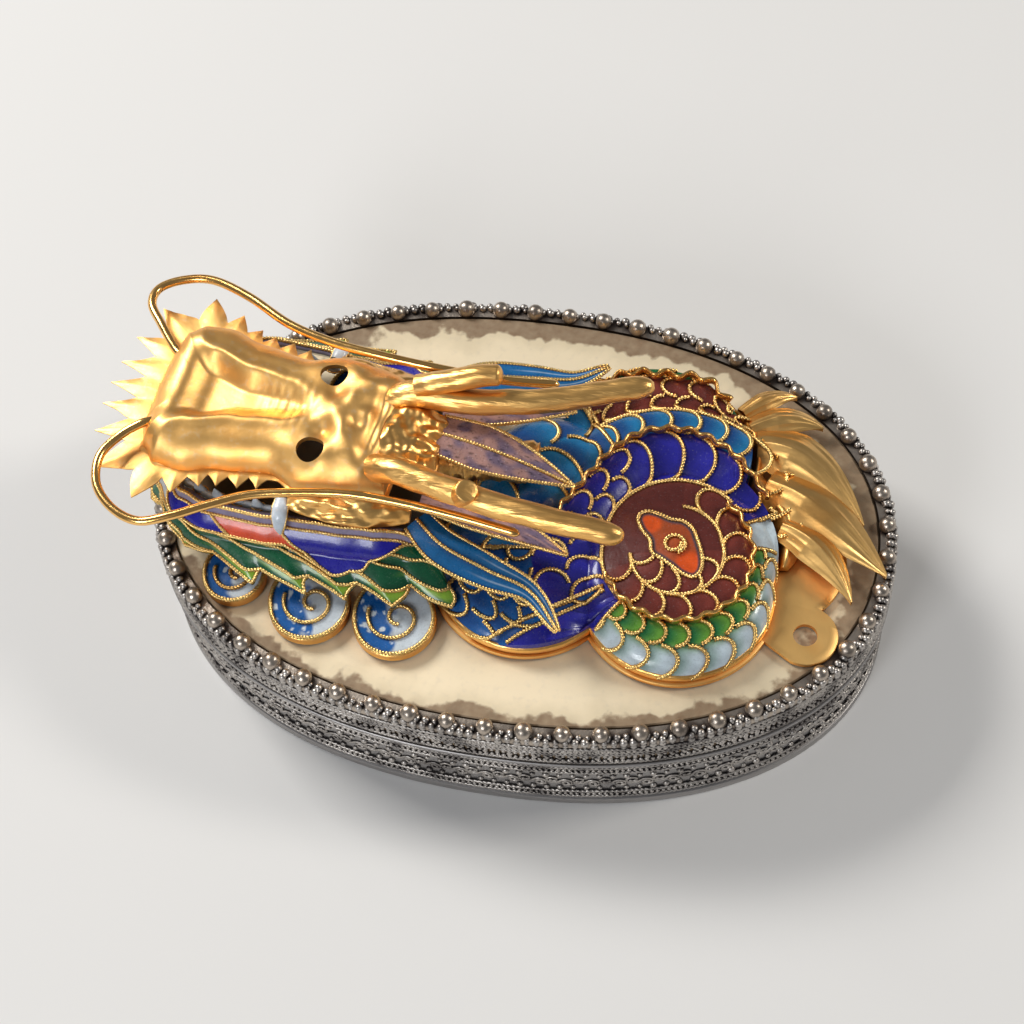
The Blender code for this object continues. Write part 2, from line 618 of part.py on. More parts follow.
def fringe_stations():
    """Outline points of the head, the way out there, and how far the lip reaches, tips and valleys in turn."""
    line = head_outline(HEAD_HALF_WIDTHS)
    middle = sum((b - a).length for a, b in zip(line, line[1:])) / 2
    front = FRINGE_FRONT_FROM * HEAD_LENGTH
    places = []
    distance, tip = 0.0, True
    while distance < middle - FRINGE_FRONT_PITCH / 4:
        point = along_line(line, middle - distance)
        blend = min(1.0, max(0.0, (point.x - front) / (FRINGE_FRONT_BLEND * HEAD_LENGTH)))
        length = FRINGE_SIDE + (FRINGE_FRONT - FRINGE_SIDE) * blend
        valley = FRINGE_ROOT + (FRINGE_FRONT_ROOT - FRINGE_ROOT) * blend
        toothed = point.x > FRINGE_FROM * HEAD_LENGTH
        places.append((middle - distance, (length if tip else valley) if toothed else FRINGE_PLAIN))
        pitch = FRINGE_SIDE_PITCH + (FRINGE_FRONT_PITCH - FRINGE_SIDE_PITCH) * blend
        distance += pitch / 2 if toothed else 1.4 * pitch
        tip = not tip
    places.append((0.0, FRINGE_PLAIN))
    whole = list(reversed(places)) + [(2 * middle - d, r) for d, r in places[1:]]
    stations = []
    for distance, reach_out in whole:
        along = (along_line(line, distance + FRINGE_ROOT) - along_line(line, distance - FRINGE_ROOT)).normalized()
        stations.append((along_line(line, distance), Vector((along.y, -along.x, 0)), reach_out))
    return stations


def shell_ring(stations, share, drop):
    """A ring of the shell's skin, drawn in from the outline towards the medial stretch."""
    ring = []
    for point, _, _ in stations:
        medial = Vector((min(max(point.x, MEDIAL[0] * HEAD_LENGTH), MEDIAL[1] * HEAD_LENGTH), 0, 0))
        place = medial + (point - medial) * share
        u = place.x / HEAD_LENGTH
        ring.append(head_point(u, place.y, head_height(u, place.y) - drop))
    return ring


def lip_ring(stations, z):
    """A ring through the tips and valleys of the toothed lip."""
    ring = []
    for point, out, reach_out in stations:
        place = point + out * reach_out
        ring.append(head_point(place.x / HEAD_LENGTH, place.y, z - FRINGE_SLOPE * reach_out))
    return ring


def head_shell():
    """The head's hollow gilt shell: muzzle, nose ridges, brow and toothed lip, with pierced eyes."""
    stations = fringe_stations()
    rings = [shell_ring(stations, share, 0) for share in (0.25, 0.5, 0.7, 0.88, 1.0)]
    rings += [lip_ring(stations, HEAD_EDGE), lip_ring(stations, HEAD_EDGE - FRINGE_THICKNESS)]
    rings.append(shell_ring(stations, 0.9, HEAD_WALL + FRINGE_THICKNESS))
    rings += [shell_ring(stations, share, HEAD_WALL) for share in (0.6, 0.25)]
    made = make("head_shell", skin(rings, BRIDGE, BRIDGE), gilt())
    pits = bmesh.new()
    for side in (-1, 1):
        loops = []
        for z in (HEAD_EDGE - EYE_DIAMETER, HEAD_EDGE + 2 * EYE_DIAMETER):
            loop = []
            for i in range(10):
                a = 2 * math.pi * i / 10
                u = EYE_U + EYE_DIAMETER / 2 * math.cos(a) / HEAD_LENGTH
                loop.append(pits.verts.new(head_point(u, side * EYE_V + EYE_DIAMETER / 2 * math.sin(a), z)))
            loops.append(loop)
        for i in range(10):
            j = (i + 1) % 10
            pits.faces.new((loops[0][i], loops[0][j], loops[1][j], loops[1][i]))
        pits.faces.new(loops[0])
        pits.faces.new(loops[1])
    return soften(join(made, make("eye_holes", pits, gilt()), "DIFFERENCE"))


def lower_jaw():
    """The enamelled lower jaw: lip, cheek panels and a beard of swept leaves, hollow and open behind."""
    line = head_outline(JAW_HALF_WIDTHS)
    length = sum((b - a).length for a, b in zip(line, line[1:]))
    count = 2 * round(length / BEARD_PITCH / 2) + 1
    path = spread(line, count)
    back = JAW_HALF_WIDTHS[0][0] * HEAD_LENGTH
    sections = []
    for i, point in enumerate(path):
        along = (path[min(count - 1, i + 1)] - path[max(0, i - 1)]).normalized()
        out = Vector((along.y, -along.x, 0))
        lip = JAW_LIP - JAW_LIP_FALL * max(0.0, point.x / back)
        chin = min(1.0, max(0.0, (point.x / HEAD_LENGTH - CHIN_FROM) / CHIN_BLEND))
        tip = i % 2 == 1
        reach_out = (BEARD_REACH if tip else BEARD_ROOT) * (1 - 0.45 * chin)
        sweep = Vector((-BEARD_SWEEP if tip else -BEARD_SWEEP * 0.4, 0, 0)) * (1 - chin)
        foot = BEARD_FOOT - (BEARD_TIP_DROP if tip else 0.0)
        section = (
            (0.0, lip, 0), (0.25 * PANEL_REACH, lip - JAW_EDGE, 0), (PANEL_REACH, PANEL_FOOT, 0),
            (reach_out, foot, 1), (reach_out, foot - BEARD_THICKNESS, 1),
            (0.75 * PANEL_REACH, PANEL_FOOT - JAW_WALL, 0), (-JAW_WALL, lip - 0.5 * JAW_WALL, 0),
        )
        ring = []
        for offset, z, swept in section:
            place = point + out * offset + sweep * swept
            ring.append(head_point(place.x / HEAD_LENGTH, place.y, z))
        sections.append(ring)
    return make("lower_jaw", skin(sections), enamel("green_enamel", (0.02, 0.25, 0.12)))


def teeth(name, side):
    """A gum bar with conical teeth, inside the lower lip on one side."""
    first, last = TOOTH_SPAN
    low = JAW_LIP - TOOTH_HEIGHT
    sections = []
    for i in range(2 * TOOTH_COUNT - 1):
        u = first + (last - first) * i / (2 * TOOTH_COUNT - 2)
        outer = interpolate(JAW_HALF_WIDTHS, u) - JAW_WALL - 1.5 * GAP
        top = low + TOOTH_SEAT + (TOOTH_HEIGHT if i % 2 == 0 else 0.0)
        sections.append([head_point(u, side * outer, low), head_point(u, side * (outer - TOOTH_WIDTH / 2), top),
                         head_point(u, side * (outer - TOOTH_WIDTH), low)])
    return make(name, skin(sections), enamel("white_enamel", (0.80, 0.86, 0.92)))


def rod(path, radii, sides):
    """A round bar along a path; radii has one value for each point."""
    sections = []
    for i, point in enumerate(path):
        along = (path[min(len(path) - 1, i + 1)] - path[max(0, i - 1)]).normalized()
        side = along.cross(Vector((0, 0, 1))).normalized()
        up = side.cross(along)
        turns = [2 * math.pi * k / sides for k in range(sides)]
        sections.append([point + (side * math.cos(t) + up * math.sin(t)) * radii[i] for t in turns])
    return skin(sections)


def standing(points, count):
    """A smooth path through points of the dragon's drawing, set on the lid."""
    return [stand(*p) for p in smooth_path(points, count)]


def whisker(name, points):
    """One long wire that springs from the nose and trails back beside the head."""
    count = 22
    path = spread([head_point(u, v, z) for u, v, z in smooth_path(points, 4 * count)], count)
    return soften(make(name, rod(path, [WIRE_DIAMETER / 2] * count, 6), gilt()), 70)


def horn(name, points, tine_points):
    """A forked horn, thick at the root and blunt at the tip."""
    def taper(count, start, end):
        swell = [start + (end - start) * i / (count - 1) for i in range(count)]
        swell[-1] *= 0.45
        return [HORN_DIAMETER / 2 * s for s in swell]
    main = make(name, rod(standing(points, 10), taper(10, 1.08, 0.9), 8), gilt())
    tine = make(f"{name}_tine", rod(standing(tine_points, 6), taper(6, 1.0, 0.85), 8), gilt())
    return soften(join(main, tine, "UNION"), 60)


def cheek(name, side):
    """The knotted gilt jaw muscle beside the mouth, ending in a point behind."""
    stations = 9
    sections = []
    for i in range(stations):
        s = i / (stations - 1)
        u = CHEEK_U + CHEEK_LENGTH * (0.5 - s) / HEAD_LENGTH
        swell = CHEEK_THICKNESS / 2 * math.sin(math.pi * (0.08 + 0.87 * s)) ** 0.7 * (1.0 if i % 2 else 0.8)
        centre_v = interpolate(JAW_HALF_WIDTHS, u) - CHEEK_CLEARANCE - CHEEK_THICKNESS / 2
        centre_z = CHEEK_Z - 0.4 * s * s
        sections.append([head_point(u, side * (centre_v + 0.85 * swell * math.cos(2 * math.pi * k / 6)),
                                    centre_z + swell * math.sin(2 * math.pi * k / 6)) for k in range(6)])
    return make(name, skin(sections), gilt())


def fang(name, side):
    """A long white fang that hangs from the upper jaw over the lower lip."""
    lip = interpolate(JAW_HALF_WIDTHS, FANG_U)
    path = []
    for ahead, outside, above in smooth_path(FANG, len(FANG_RADII)):
        path.append(head_point(FANG_U + ahead / HEAD_LENGTH, side * (lip + outside), JAW_LIP + above))
    return make(name, rod(path, FANG_RADII, 6), enamel("white_enamel", (0.80, 0.86, 0.92)))


def mane_leaf(name, base, middle, tip, half_width):
    """An enamelled mane leaf behind the head."""
    mesh = blade(base, middle, tip, half_width, 0.5, LEAF_THICKNESS, LEAF_ROOT)
    return make(name, mesh, enamel("rose_enamel", (0.62, 0.42, 0.38)))


def mane_lock(name, points):
    """A long enamelled lock that sweeps back from the cheek."""
    path = smooth_path(points, 10)
    sections = []
    for i, point in enumerate(path):
        s = i / (len(path) - 1)
        along = (path[min(len(path) - 1, i + 1)] - path[max(0, i - 1)]).normalized()
        side = Vector((-along.y, along.x, 0)).normalized()
        half = LOCK_HALF_WIDTH * (0.7 + 0.3 * math.sin(math.pi * min(1, 1.3 * s))) * round_over(s * 0.985)
        sections.append([stand(*(point - side * half)), stand(*(point - Vector((0, 0, LEAF_THICKNESS)))),
                         stand(*(point + side * half)), stand(*(point + Vector((0, 0, 0.5))))])
    return make(name, skin(sections), enamel("turquoise_enamel", (0.01, 0.20, 0.52)))


def bar(name, points, radius, count, sides, finish):
    """A plain round piece, such as the neck or the collar between the horns."""
    return soften(make(name, rod(standing(points, count), [radius] * count, sides), finish), 60)


def build():
    for old in list(bpy.data.objects):
        bpy.data.objects.remove(old)
    box_base()
    box_lid()
    granule_border()
    back_plate()
    dragon_body()
    ribbon("crest_loop", LOOP_LINE[2:31])
    ribbon("crest_coil", coil_ring_line())
    ribbon("crest_back", BACK_LINE)
    tail_fin()
    for i, (x, y, radius) in enumerate(WAVES, 1):
        wave_scroll(f"wave_scroll_{i}", x, y, radius)
    lower_jaw()
    head_shell()
    for place, side in (("near", -1), ("far", 1)):
        teeth(f"teeth_{place}", side)
        fang(f"fang_{place}", side)
        cheek(f"cheek_{place}", side)
    whisker("whisker_near", WHISKER_NEAR)
    whisker("whisker_far", WHISKER_FAR)
    horn("horn_near", HORN_NEAR, TINE_NEAR)
    horn("horn_far", HORN_FAR, TINE_FAR)
    bar("horn_collar", COLLAR, COLLAR_RADIUS, 5, 8, gilt())
    bar("neck", NECK, NECK_RADIUS, 7, 8, gilt())
    for name, (base, middle, tip, half_width) in LEAVES.items():
        mane_leaf(name, base, middle, tip, half_width)
    mane_lock("mane_lock_near", LOCK_NEAR)
    mane_lock("mane_lock_far", LOCK_FAR)


build()
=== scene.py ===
"""The looks of an oval filigree box whose lid carries a cloisonne enamel dragon.

Lengths are in millimetres until a mesh is made. +X runs along the box towards the dragon's tail, -Y is the
side seen in front and +Z is up. The dragon's own heights count from the lid's plate. What lies on the head is
placed in the head's plan: forwards as a share of its length, across to the far side, and height.
"""

from __future__ import annotations

import logging
import math
from collections.abc import Callable, Sequence
from dataclasses import dataclass, field, replace
from enum import Enum

import bmesh
import bpy
import numpy as np
from mathutils import Matrix, Vector


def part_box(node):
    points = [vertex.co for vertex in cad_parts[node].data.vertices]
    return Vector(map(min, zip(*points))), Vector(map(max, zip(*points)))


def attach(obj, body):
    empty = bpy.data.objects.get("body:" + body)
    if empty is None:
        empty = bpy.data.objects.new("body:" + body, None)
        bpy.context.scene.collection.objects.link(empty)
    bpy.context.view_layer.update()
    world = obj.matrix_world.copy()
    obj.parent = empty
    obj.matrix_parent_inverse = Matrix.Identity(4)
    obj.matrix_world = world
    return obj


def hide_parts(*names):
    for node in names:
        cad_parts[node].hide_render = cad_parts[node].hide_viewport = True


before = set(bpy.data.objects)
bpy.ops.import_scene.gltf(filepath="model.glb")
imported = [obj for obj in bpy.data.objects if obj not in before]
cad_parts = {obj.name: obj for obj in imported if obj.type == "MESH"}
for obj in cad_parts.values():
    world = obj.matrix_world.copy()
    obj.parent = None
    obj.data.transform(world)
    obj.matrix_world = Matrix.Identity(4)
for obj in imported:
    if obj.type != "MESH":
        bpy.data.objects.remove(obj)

MM = 0.001
TAU = 2 * math.pi
BODY = "root"
LOG = logging.getLogger("dragon_box")

Point = Sequence[float]
Colour = tuple[float, float, float]
Settings = dict[str, object]
Bound = Callable[[np.ndarray], np.ndarray]
Painter = Callable[[np.ndarray, np.ndarray], np.ndarray]
Face = Callable[[np.ndarray, np.ndarray], np.ndarray]


class Slot(Enum):
    """The finishes that the part's record names."""

    TARNISHED_SILVER = "tarnished_silver"
    PALE_SILVER = "pale_silver"
    GILT = "gilt"
    COBALT = "cobalt_enamel"
    TURQUOISE = "turquoise_enamel"
    GREEN = "green_enamel"
    ROSE = "rose_enamel"
    WHITE = "white_enamel"


class Side(Enum):
    """The two sides of the head, as the sign of the way across."""

    NEAR = -1
    FAR = 1


class Value:
    """What a node gives, used in plain Python expressions."""

    def __init__(self, nodes: Nodes, socket: bpy.types.NodeSocket) -> None:
        """Keeps the tree and the socket that the value comes from."""
        self.nodes = nodes
        self.socket = socket

    def _math(self, operation: str, *operands: Value | float) -> Value:
        """One Math node on the operands."""
        return self.nodes.add("ShaderNodeMath", {"operation": operation}, dict(enumerate(operands)))

    def __add__(self, other: Value | float) -> Value:
        """The sum of two values."""
        return self._math("ADD", self, other)

    def __mul__(self, other: Value | float) -> Value:
        """The product of two values."""
        return self._math("MULTIPLY", self, other)

    __radd__ = __add__
    __rmul__ = __mul__

    def __sub__(self, other: Value | float) -> Value:
        """This value less another."""
        return self._math("SUBTRACT", self, other)

    def __rsub__(self, other: Value | float) -> Value:
        """Another value less this one."""
        return self._math("SUBTRACT", other, self)

    def __truediv__(self, other: Value | float) -> Value:
        """This value over another."""
        return self._math("DIVIDE", self, other)

    def __pow__(self, power: float) -> Value:
        """This value raised to a power."""
        return self._math("POWER", self, power)

    def __abs__(self) -> Value:
        """The value without its sign."""
        return self._math("ABSOLUTE", self)

    def sine(self) -> Value:
        """The sine of the value."""
        return self._math("SINE", self)

    def part(self, low: float, high: float) -> Value:
        """A smooth step from 0 at low to 1 at high."""
        settings = {"interpolation_type": "SMOOTHSTEP"}
        return self.nodes.add("ShaderNodeMapRange", settings, {0: self, 1: low, 2: high, 3: 0.0, 4: 1.0})


class Nodes:
    """A node tree that is written as expressions."""

    def __init__(self, tree: bpy.types.NodeTree) -> None:
        """Takes the tree that the nodes go into."""
        self.tree = tree

    def add(self, kind: str, settings: Settings | None = None, inputs: dict | None = None,
            output: int | str = 0) -> Value:
        """Adds a node.

        Args:
            kind: the node's type.
            settings: its own settings, set first; "stops" are a ramp's places and colours.
            inputs: the values or links of its sockets, by place or name.
            output: which of its outputs to give.

        Returns:
            That output, as a value.
        """
        node = self.tree.nodes.new(kind)
        for key, setting in (settings or {}).items():
            if key == "stops":
                self._set_stops(node.color_ramp, setting)
            else:
                setattr(node, key, setting)
        for key, given in (inputs or {}).items():
            if isinstance(given, Value):
                self.tree.links.new(given.socket, node.inputs[key])
            else:
                node.inputs[key].default_value = given
        return Value(self, node.outputs[output])

    @staticmethod
    def _set_stops(ramp: bpy.types.ColorRamp, stops: Sequence[tuple[float, Colour]]) -> None:
        """Gives a ramp its stops."""
        while len(ramp.elements) < len(stops):
            ramp.elements.new(0.5)
        for element, (place, colour) in zip(ramp.elements, stops):
            element.position = place
            element.color = (*colour, 1.0)

    def mix(self, share: Value | float, first: Value | Colour, second: Value | Colour) -> Value:
        """A colour between two others."""
        ends = {6: first, 7: second}
        ends = {place: end if isinstance(end, Value) else (*end, 1.0) for place, end in ends.items()}
        return self.add("ShaderNodeMix", {"data_type": "RGBA"}, {0: share, **ends}, 2)

    def shade(self, colour: Value, amount: Value) -> Value:
        """A colour times a number."""
        return self.add("ShaderNodeVectorMath", {"operation": "SCALE"}, {0: colour, "Scale": amount})

    def place(self, stretch: Point = (1.0, 1.0, 1.0)) -> Value:
        """The place on the piece in millimetres, stretched."""
        at = self.add("ShaderNodeTexCoord", output="Object")
        scale = tuple(s / MM for s in stretch)
        return self.add("ShaderNodeVectorMath", {"operation": "MULTIPLY"}, {0: at, 1: scale})

    def noise(self, place: Value, scale: float, detail: float = 3.0) -> Value:
        """Soft noise with so many lumps a millimetre."""
        return self.add("ShaderNodeTexNoise", {}, {"Vector": place, "Scale": scale, "Detail": detail})

    def cells(self, place: Value, scale: float) -> Value:
        """The distance to the nearest of scattered points."""
        return self.add("ShaderNodeTexVoronoi", {}, {"Vector": place, "Scale": scale})

    def hollow(self, reach: float) -> Value:
        """How enclosed a place is, 0 in the open, within a reach in millimetres."""
        settings = {"samples": 8}
        return 1 - self.add("ShaderNodeAmbientOcclusion", settings, {"Distance": reach * MM}, "AO")

    def bump(self, height: Value, strength: float, depth: float) -> Value:
        """The surface's slopes for a height of so many millimetres."""
        inputs = {"Height": height, "Strength": strength, "Distance": depth * MM}
        return self.add("ShaderNodeBump", {}, inputs)


@dataclass(frozen=True)
class Finish:
    """A finish that makes its material once, and the record's finish that it stands for."""

    name: str
    slot: Slot = Slot.GILT

    def material(self) -> bpy.types.Material:
        """The finish's material."""
        made = bpy.data.materials.get(self.name)
        if made is None:
            made = bpy.data.materials.new(self.name)
            made.use_nodes = True
            shader = made.node_tree.nodes["Principled BSDF"]
            nodes = Nodes(made.node_tree)
            for socket, given in self.sockets(nodes).items():
                if isinstance(given, Value):
                    made.node_tree.links.new(given.socket, shader.inputs[socket])
                else:
                    shader.inputs[socket].default_value = given
        return made

    def sockets(self, nodes: Nodes) -> dict[str, Value | float]:
        """What each of the shader's sockets gets."""
        raise NotImplementedError


@dataclass(frozen=True)
class Gilt(Finish):
    """Fire-gilt metal, hammered and scratched: bright on what stands out, with painted shade that turns the
    hollows orange, brown and nearly black.
    """

    bright: Colour = (1.0, 0.585, 0.19)
    # deep and shadow are painted shade for the hollows; deep also carries random broad tone
    deep: Colour = (0.80, 0.33, 0.055)
    shadow: Colour = (0.16, 0.055, 0.012)
    roughness: float = 0.3
    hammer: float = 0.5            # hammer marks a millimetre
    relief: float = 0.12
    streaks: Point = (1.0, 1.0, 1.0)
    silvering: float = 0.0         # how much worn silver shows
    worn: Colour = (0.82, 0.74, 0.58)

    def sockets(self, nodes: Nodes) -> dict[str, Value | float]:
        """What each of the shader's sockets gets."""
        place = nodes.place(self.streaks)
        broad = nodes.noise(place, 0.12, 2.0)
        marks = nodes.noise(place, self.hammer, 4.0)
        fine = nodes.noise(place, 4.0, 3.0)
        hollow = nodes.hollow(2.2)
        # painted shade: the hollows take the deep orange-brown, mixed with random broad tone
        tone = (hollow.part(0.12, 0.75) + 0.55 * broad.part(0.5, 0.75)) * 0.85
        colour = nodes.mix(tone, self.bright, self.deep)
        # painted shade: the deepest hollows go nearly black
        colour = nodes.mix(hollow.part(0.55, 1.0), colour, self.shadow)
        if self.silvering:
            worn = (marks + 0.4 * fine).part(0.72, 0.95) * self.silvering
            colour = nodes.mix(worn, colour, self.worn)
        height = marks * 1.0 + 0.12 * fine
        return {
            "Base Color": colour, "Metallic": 1.0,
            "Roughness": self.roughness + 0.18 * fine * marks + 0.25 * hollow,
            "Normal": nodes.bump(height, self.relief, 0.5),
        }


@dataclass(frozen=True)
class Silver(Finish):
    """Old silver: brown-grey tarnish in the hollows, rubbed bright where it stands out."""

    slot: Slot = Slot.TARNISHED_SILVER
    bright: Colour = (0.27, 0.245, 0.24)
    tarnish: Colour = (0.045, 0.037, 0.037)
    brown: Colour = (0.30, 0.19, 0.12)
    rubbed: float = 0.55
    roughness: float = 0.3

    def sockets(self, nodes: Nodes) -> dict[str, Value | float]:
        """What each of the shader's sockets gets."""
        place = nodes.place()
        patches = nodes.noise(place, 0.25, 4.0)
        fine = nodes.noise(place, 3.0, 4.0)
        hollow = nodes.hollow(1.2)
        dirt = hollow * 1.5 + patches.part(0.35, 0.7) * 0.75 + 0.25 * fine - self.rubbed * 0.5
        dark = dirt.part(0.1, 0.95)
        colour = nodes.mix(dark, self.bright, self.tarnish)
        colour = nodes.mix(fine.part(0.62, 0.75) * 0.35, colour, self.brown)
        return {
            "Base Color": colour, "Metallic": 1.0 - 0.35 * dark,
            "Roughness": self.roughness + 0.22 * fine + 0.15 * hollow,
            "Normal": nodes.bump(fine + patches, 0.3, 0.12),
        }


@dataclass(frozen=True)
class LidPlate(Finish):
    """The lid's pale plate, with a brown tarnished margin that runs in from its edge in scallops and a
    painted shadow under the head.
    """

    slot: Slot = Slot.PALE_SILVER
    half_length: float = 47.3
    half_width: float = 30.6
    power: float = 2.2
    pale: Colour = (0.93, 0.80, 0.57)
    margin: Colour = (0.27, 0.18, 0.105)
    stained: Colour = (0.56, 0.47, 0.30)
    greyed: Colour = (0.62, 0.56, 0.46)
    soot: Colour = (0.03, 0.022, 0.015)
    shelter: tuple[float, float] = (-23.0, -0.6)            # the middle of the painted shadow under the head
    shelter_reach: tuple[float, float] = (21.0, 10.0)

    def sockets(self, nodes: Nodes) -> dict[str, Value | float]:
        """What each of the shader's sockets gets."""
        place = nodes.place()
        xyz = [nodes.add("ShaderNodeSeparateXYZ", {}, {0: place}, axis) for axis in (0, 1)]
        halves = (self.half_length, self.half_width)
        across = sum((abs(v) / half) ** self.power for v, half in zip(xyz, halves))
        inside = (1 - across ** (1 / self.power)) * self.half_width
        scallops = nodes.noise(place, 0.22, 2.0)
        blots = nodes.noise(place, 0.9, 5.0)
        fine = nodes.noise(place, 6.0, 3.0)
        edge = inside - 7.5 * (scallops - 0.36) - 1.6 * (blots - 0.5) - 0.025 * (xyz[0] * 0.3 + xyz[1] + 4)
        tarnished = 1 - edge.part(0.0, 0.9)
        stain = 1 - edge.part(0.3, 4.5)
        hollow = nodes.hollow(3.0)
        # painted shadow: an oval under the head goes nearly black, so the eye holes and the mouth look dark
        apart = [(v - middle) / reach for v, middle, reach in zip(xyz, self.shelter, self.shelter_reach)]
        painted_shadow_mask = 1 - (apart[0] * apart[0] + apart[1] * apart[1]).part(0.75, 1.15)
        colour = nodes.mix(0.35 * stain, self.pale, self.stained)
        colour = nodes.mix(0.22 * blots.part(0.5, 0.8), colour, self.greyed)
        colour = nodes.mix(tarnished * (0.72 + 0.4 * blots), colour, self.margin)
        colour = nodes.mix(0.4 * hollow, colour, self.margin)
        colour = nodes.mix(0.93 * painted_shadow_mask, colour, self.soot)
        scratches = nodes.noise(nodes.place((0.15, 2.6, 1.0)), 2.2, 2.0)
        return {
            "Base Color": colour, "Metallic": 0.35 - 0.2 * tarnished,
            "Roughness": 0.44 + 0.16 * fine + 0.12 * blots,
            "Normal": nodes.bump(fine * 0.5 + scratches + 2.0 * scallops, 0.12, 0.1),
        }


@dataclass(frozen=True)
class Enamel(Finish):
    """Glassy enamel that takes its colour cell by cell from the piece's own tints, with painted shade in the
    recesses along its wires.
    """

    slot: Slot = Slot.COBALT
    speckle: float = 0.35
    roughness: float = 0.24
    gloss: float = 0.3
    grain: Colour = (0.75, 0.78, 0.82)
    # the colour of the painted shade in the enamel's recesses
    dirt: Colour = (0.035, 0.02, 0.015)

    def sockets(self, nodes: Nodes) -> dict[str, Value | float]:
        """What each of the shader's sockets gets."""
        place = nodes.place()
        tint = nodes.add("ShaderNodeAttribute", {"attribute_name": "tint"}, output="Color")
        cloud = nodes.noise(place, 0.7, 3.0)
        fine = nodes.noise(place, 3.2, 4.0)
        grains = nodes.cells(place, 2.2)
        colour = nodes.shade(tint, 0.72 + 0.62 * cloud - self.speckle * 0.5 * fine.part(0.52, 0.72))
        colour = nodes.mix(self.speckle * 0.35 * (1 - grains.part(0.05, 0.2)), colour, self.grain)
        # painted shade: darker in the recesses beside the wires
        colour = nodes.mix(0.55 * nodes.hollow(0.7).part(0.35, 1.0), colour, self.dirt)
        return {
            "Base Color": colour, "Roughness": self.roughness + 0.16 * fine * cloud,
            "Normal": nodes.bump(cloud + 0.2 * fine, 0.35, 0.14),
            "Coat Weight": self.gloss, "Coat Roughness": 0.08, "Specular IOR Level": 0.45,
        }


@dataclass(frozen=True)
class Backdrop(Finish):
    """The plain pale floor."""

    colour: Colour = (0.78, 0.77, 0.75)

    def sockets(self, nodes: Nodes) -> dict[str, Value | float]:
        """What each of the shader's sockets gets."""
        return {"Base Color": (*self.colour, 1.0), "Roughness": 0.9}


GILT_HEAD = Gilt("gilt_satin_head", hammer=0.9, relief=0.06, roughness=0.4, silvering=0.25)
GILT_PLATE = Gilt("gilt_plate", bright=(1.0, 0.62, 0.22), deep=(0.90, 0.36, 0.06), hammer=0.35, relief=0.05,
                  roughness=0.42)
GILT_RUFFLE = Gilt("gilt_ruffle", hammer=1.6, relief=0.1, roughness=0.2)
GILT_WIRE = Gilt("gilt_twisted_wire", bright=(1.0, 0.70, 0.26), deep=(0.62, 0.28, 0.06), roughness=0.22,
                 hammer=2.0, relief=0.15)
GILT_HORN = Gilt("gilt_horn", hammer=1.4, relief=0.25, streaks=(0.22, 1.6, 1.6), roughness=0.3)
GILT_LEAF = Gilt("gilt_crumpled", hammer=0.9, relief=0.3, roughness=0.26)
GILT_FOLDED = Gilt("gilt_folded_sheet", hammer=0.7, relief=0.12, roughness=0.27)
GILT_SMOOTH = Gilt("gilt_smooth_wire", roughness=0.16, hammer=0.8, relief=0.06)
GILT_TAIL = Gilt("gilt_tail", bright=(1.0, 0.61, 0.21), hammer=0.5, relief=0.06, roughness=0.3)
SILVER = Silver("tarnished_silver")
SILVER_BRIGHT = Silver("rubbed_silver", bright=(0.55, 0.51, 0.47), rubbed=0.8, roughness=0.26)
SILVER_GRAIN = Silver("brown_silver_grain", bright=(0.50, 0.43, 0.36), tarnish=(0.075, 0.055, 0.045),
                      roughness=0.24)
PLATE = LidPlate("pale_lid_plate")
ENAMEL = Enamel("cloisonne_enamel")
ENAMEL_WHITE = replace(ENAMEL, slot=Slot.WHITE)
ENAMEL_GREEN = replace(ENAMEL, slot=Slot.GREEN)
ENAMEL_TURQUOISE = replace(ENAMEL, slot=Slot.TURQUOISE)
ENAMEL_SPECKLED = Enamel("speckled_enamel", slot=Slot.ROSE, speckle=0.8, roughness=0.18)


@dataclass
class Form:
    """A mesh in the making: points in millimetres, faces, and a tint for each point where it is enamelled."""

    points: np.ndarray
    faces: list[tuple[int, ...]]
    tints: np.ndarray | None = None


def together(forms: Sequence[Form]) -> Form:
    """Several forms as one."""
    starts = np.cumsum([0] + [len(form.points) for form in forms])
    faces = []
    for form, start in zip(forms, starts.tolist()):
        faces += [tuple(i + start for i in face) for face in form.faces]
    tints = None if forms[0].tints is None else np.vstack([form.tints for form in forms])
    return Form(np.vstack([form.points for form in forms]), faces, tints)


def loft(rings: np.ndarray, first: str = "fan", last: str = "fan") -> Form:
    """A closed skin through rings of equal count.

    Args:
        rings: points by ring and place.
        first: how the first ring is closed: "fan" to its middle, "bridge" between its mirrored halves,
            or "join" to the last ring, as in a hoop.
        last: the same for the last ring.

    Returns:
        The form, its points ring by ring.
    """
    count, around = rings.shape[:2]
    points = rings.reshape(-1, 3)
    index = np.arange(count * around).reshape(count, around)
    if first == "join":
        index = np.vstack((index, index[:1]))
    low, high = index[:-1], index[1:]
    quads = np.stack((low, np.roll(low, -1, 1), np.roll(high, -1, 1), high), -1).reshape(-1, 4)
    faces = [tuple(quad) for quad in quads.tolist()]
    for row, way in (() if first == "join" else ((index[0].tolist(), first), (index[-1].tolist(), last))):
        if way == "fan":
            hub = len(points)
            points = np.vstack((points, points[row].mean(0)))
            faces += [(row[i], row[(i + 1) % around], hub) for i in range(around)]
        else:
            near, far = 0, around - 1
            while far - near >= 3:
                faces.append((row[near], row[near + 1], row[far - 1], row[far]))
                near, far = near + 1, far - 1
            if far - near == 2:
                faces.append((row[near], row[near + 1], row[far]))
    return Form(points, faces)


def turns(count: int) -> np.ndarray:
    """Evenly spread angles once round."""
    return np.arange(count) * TAU / count


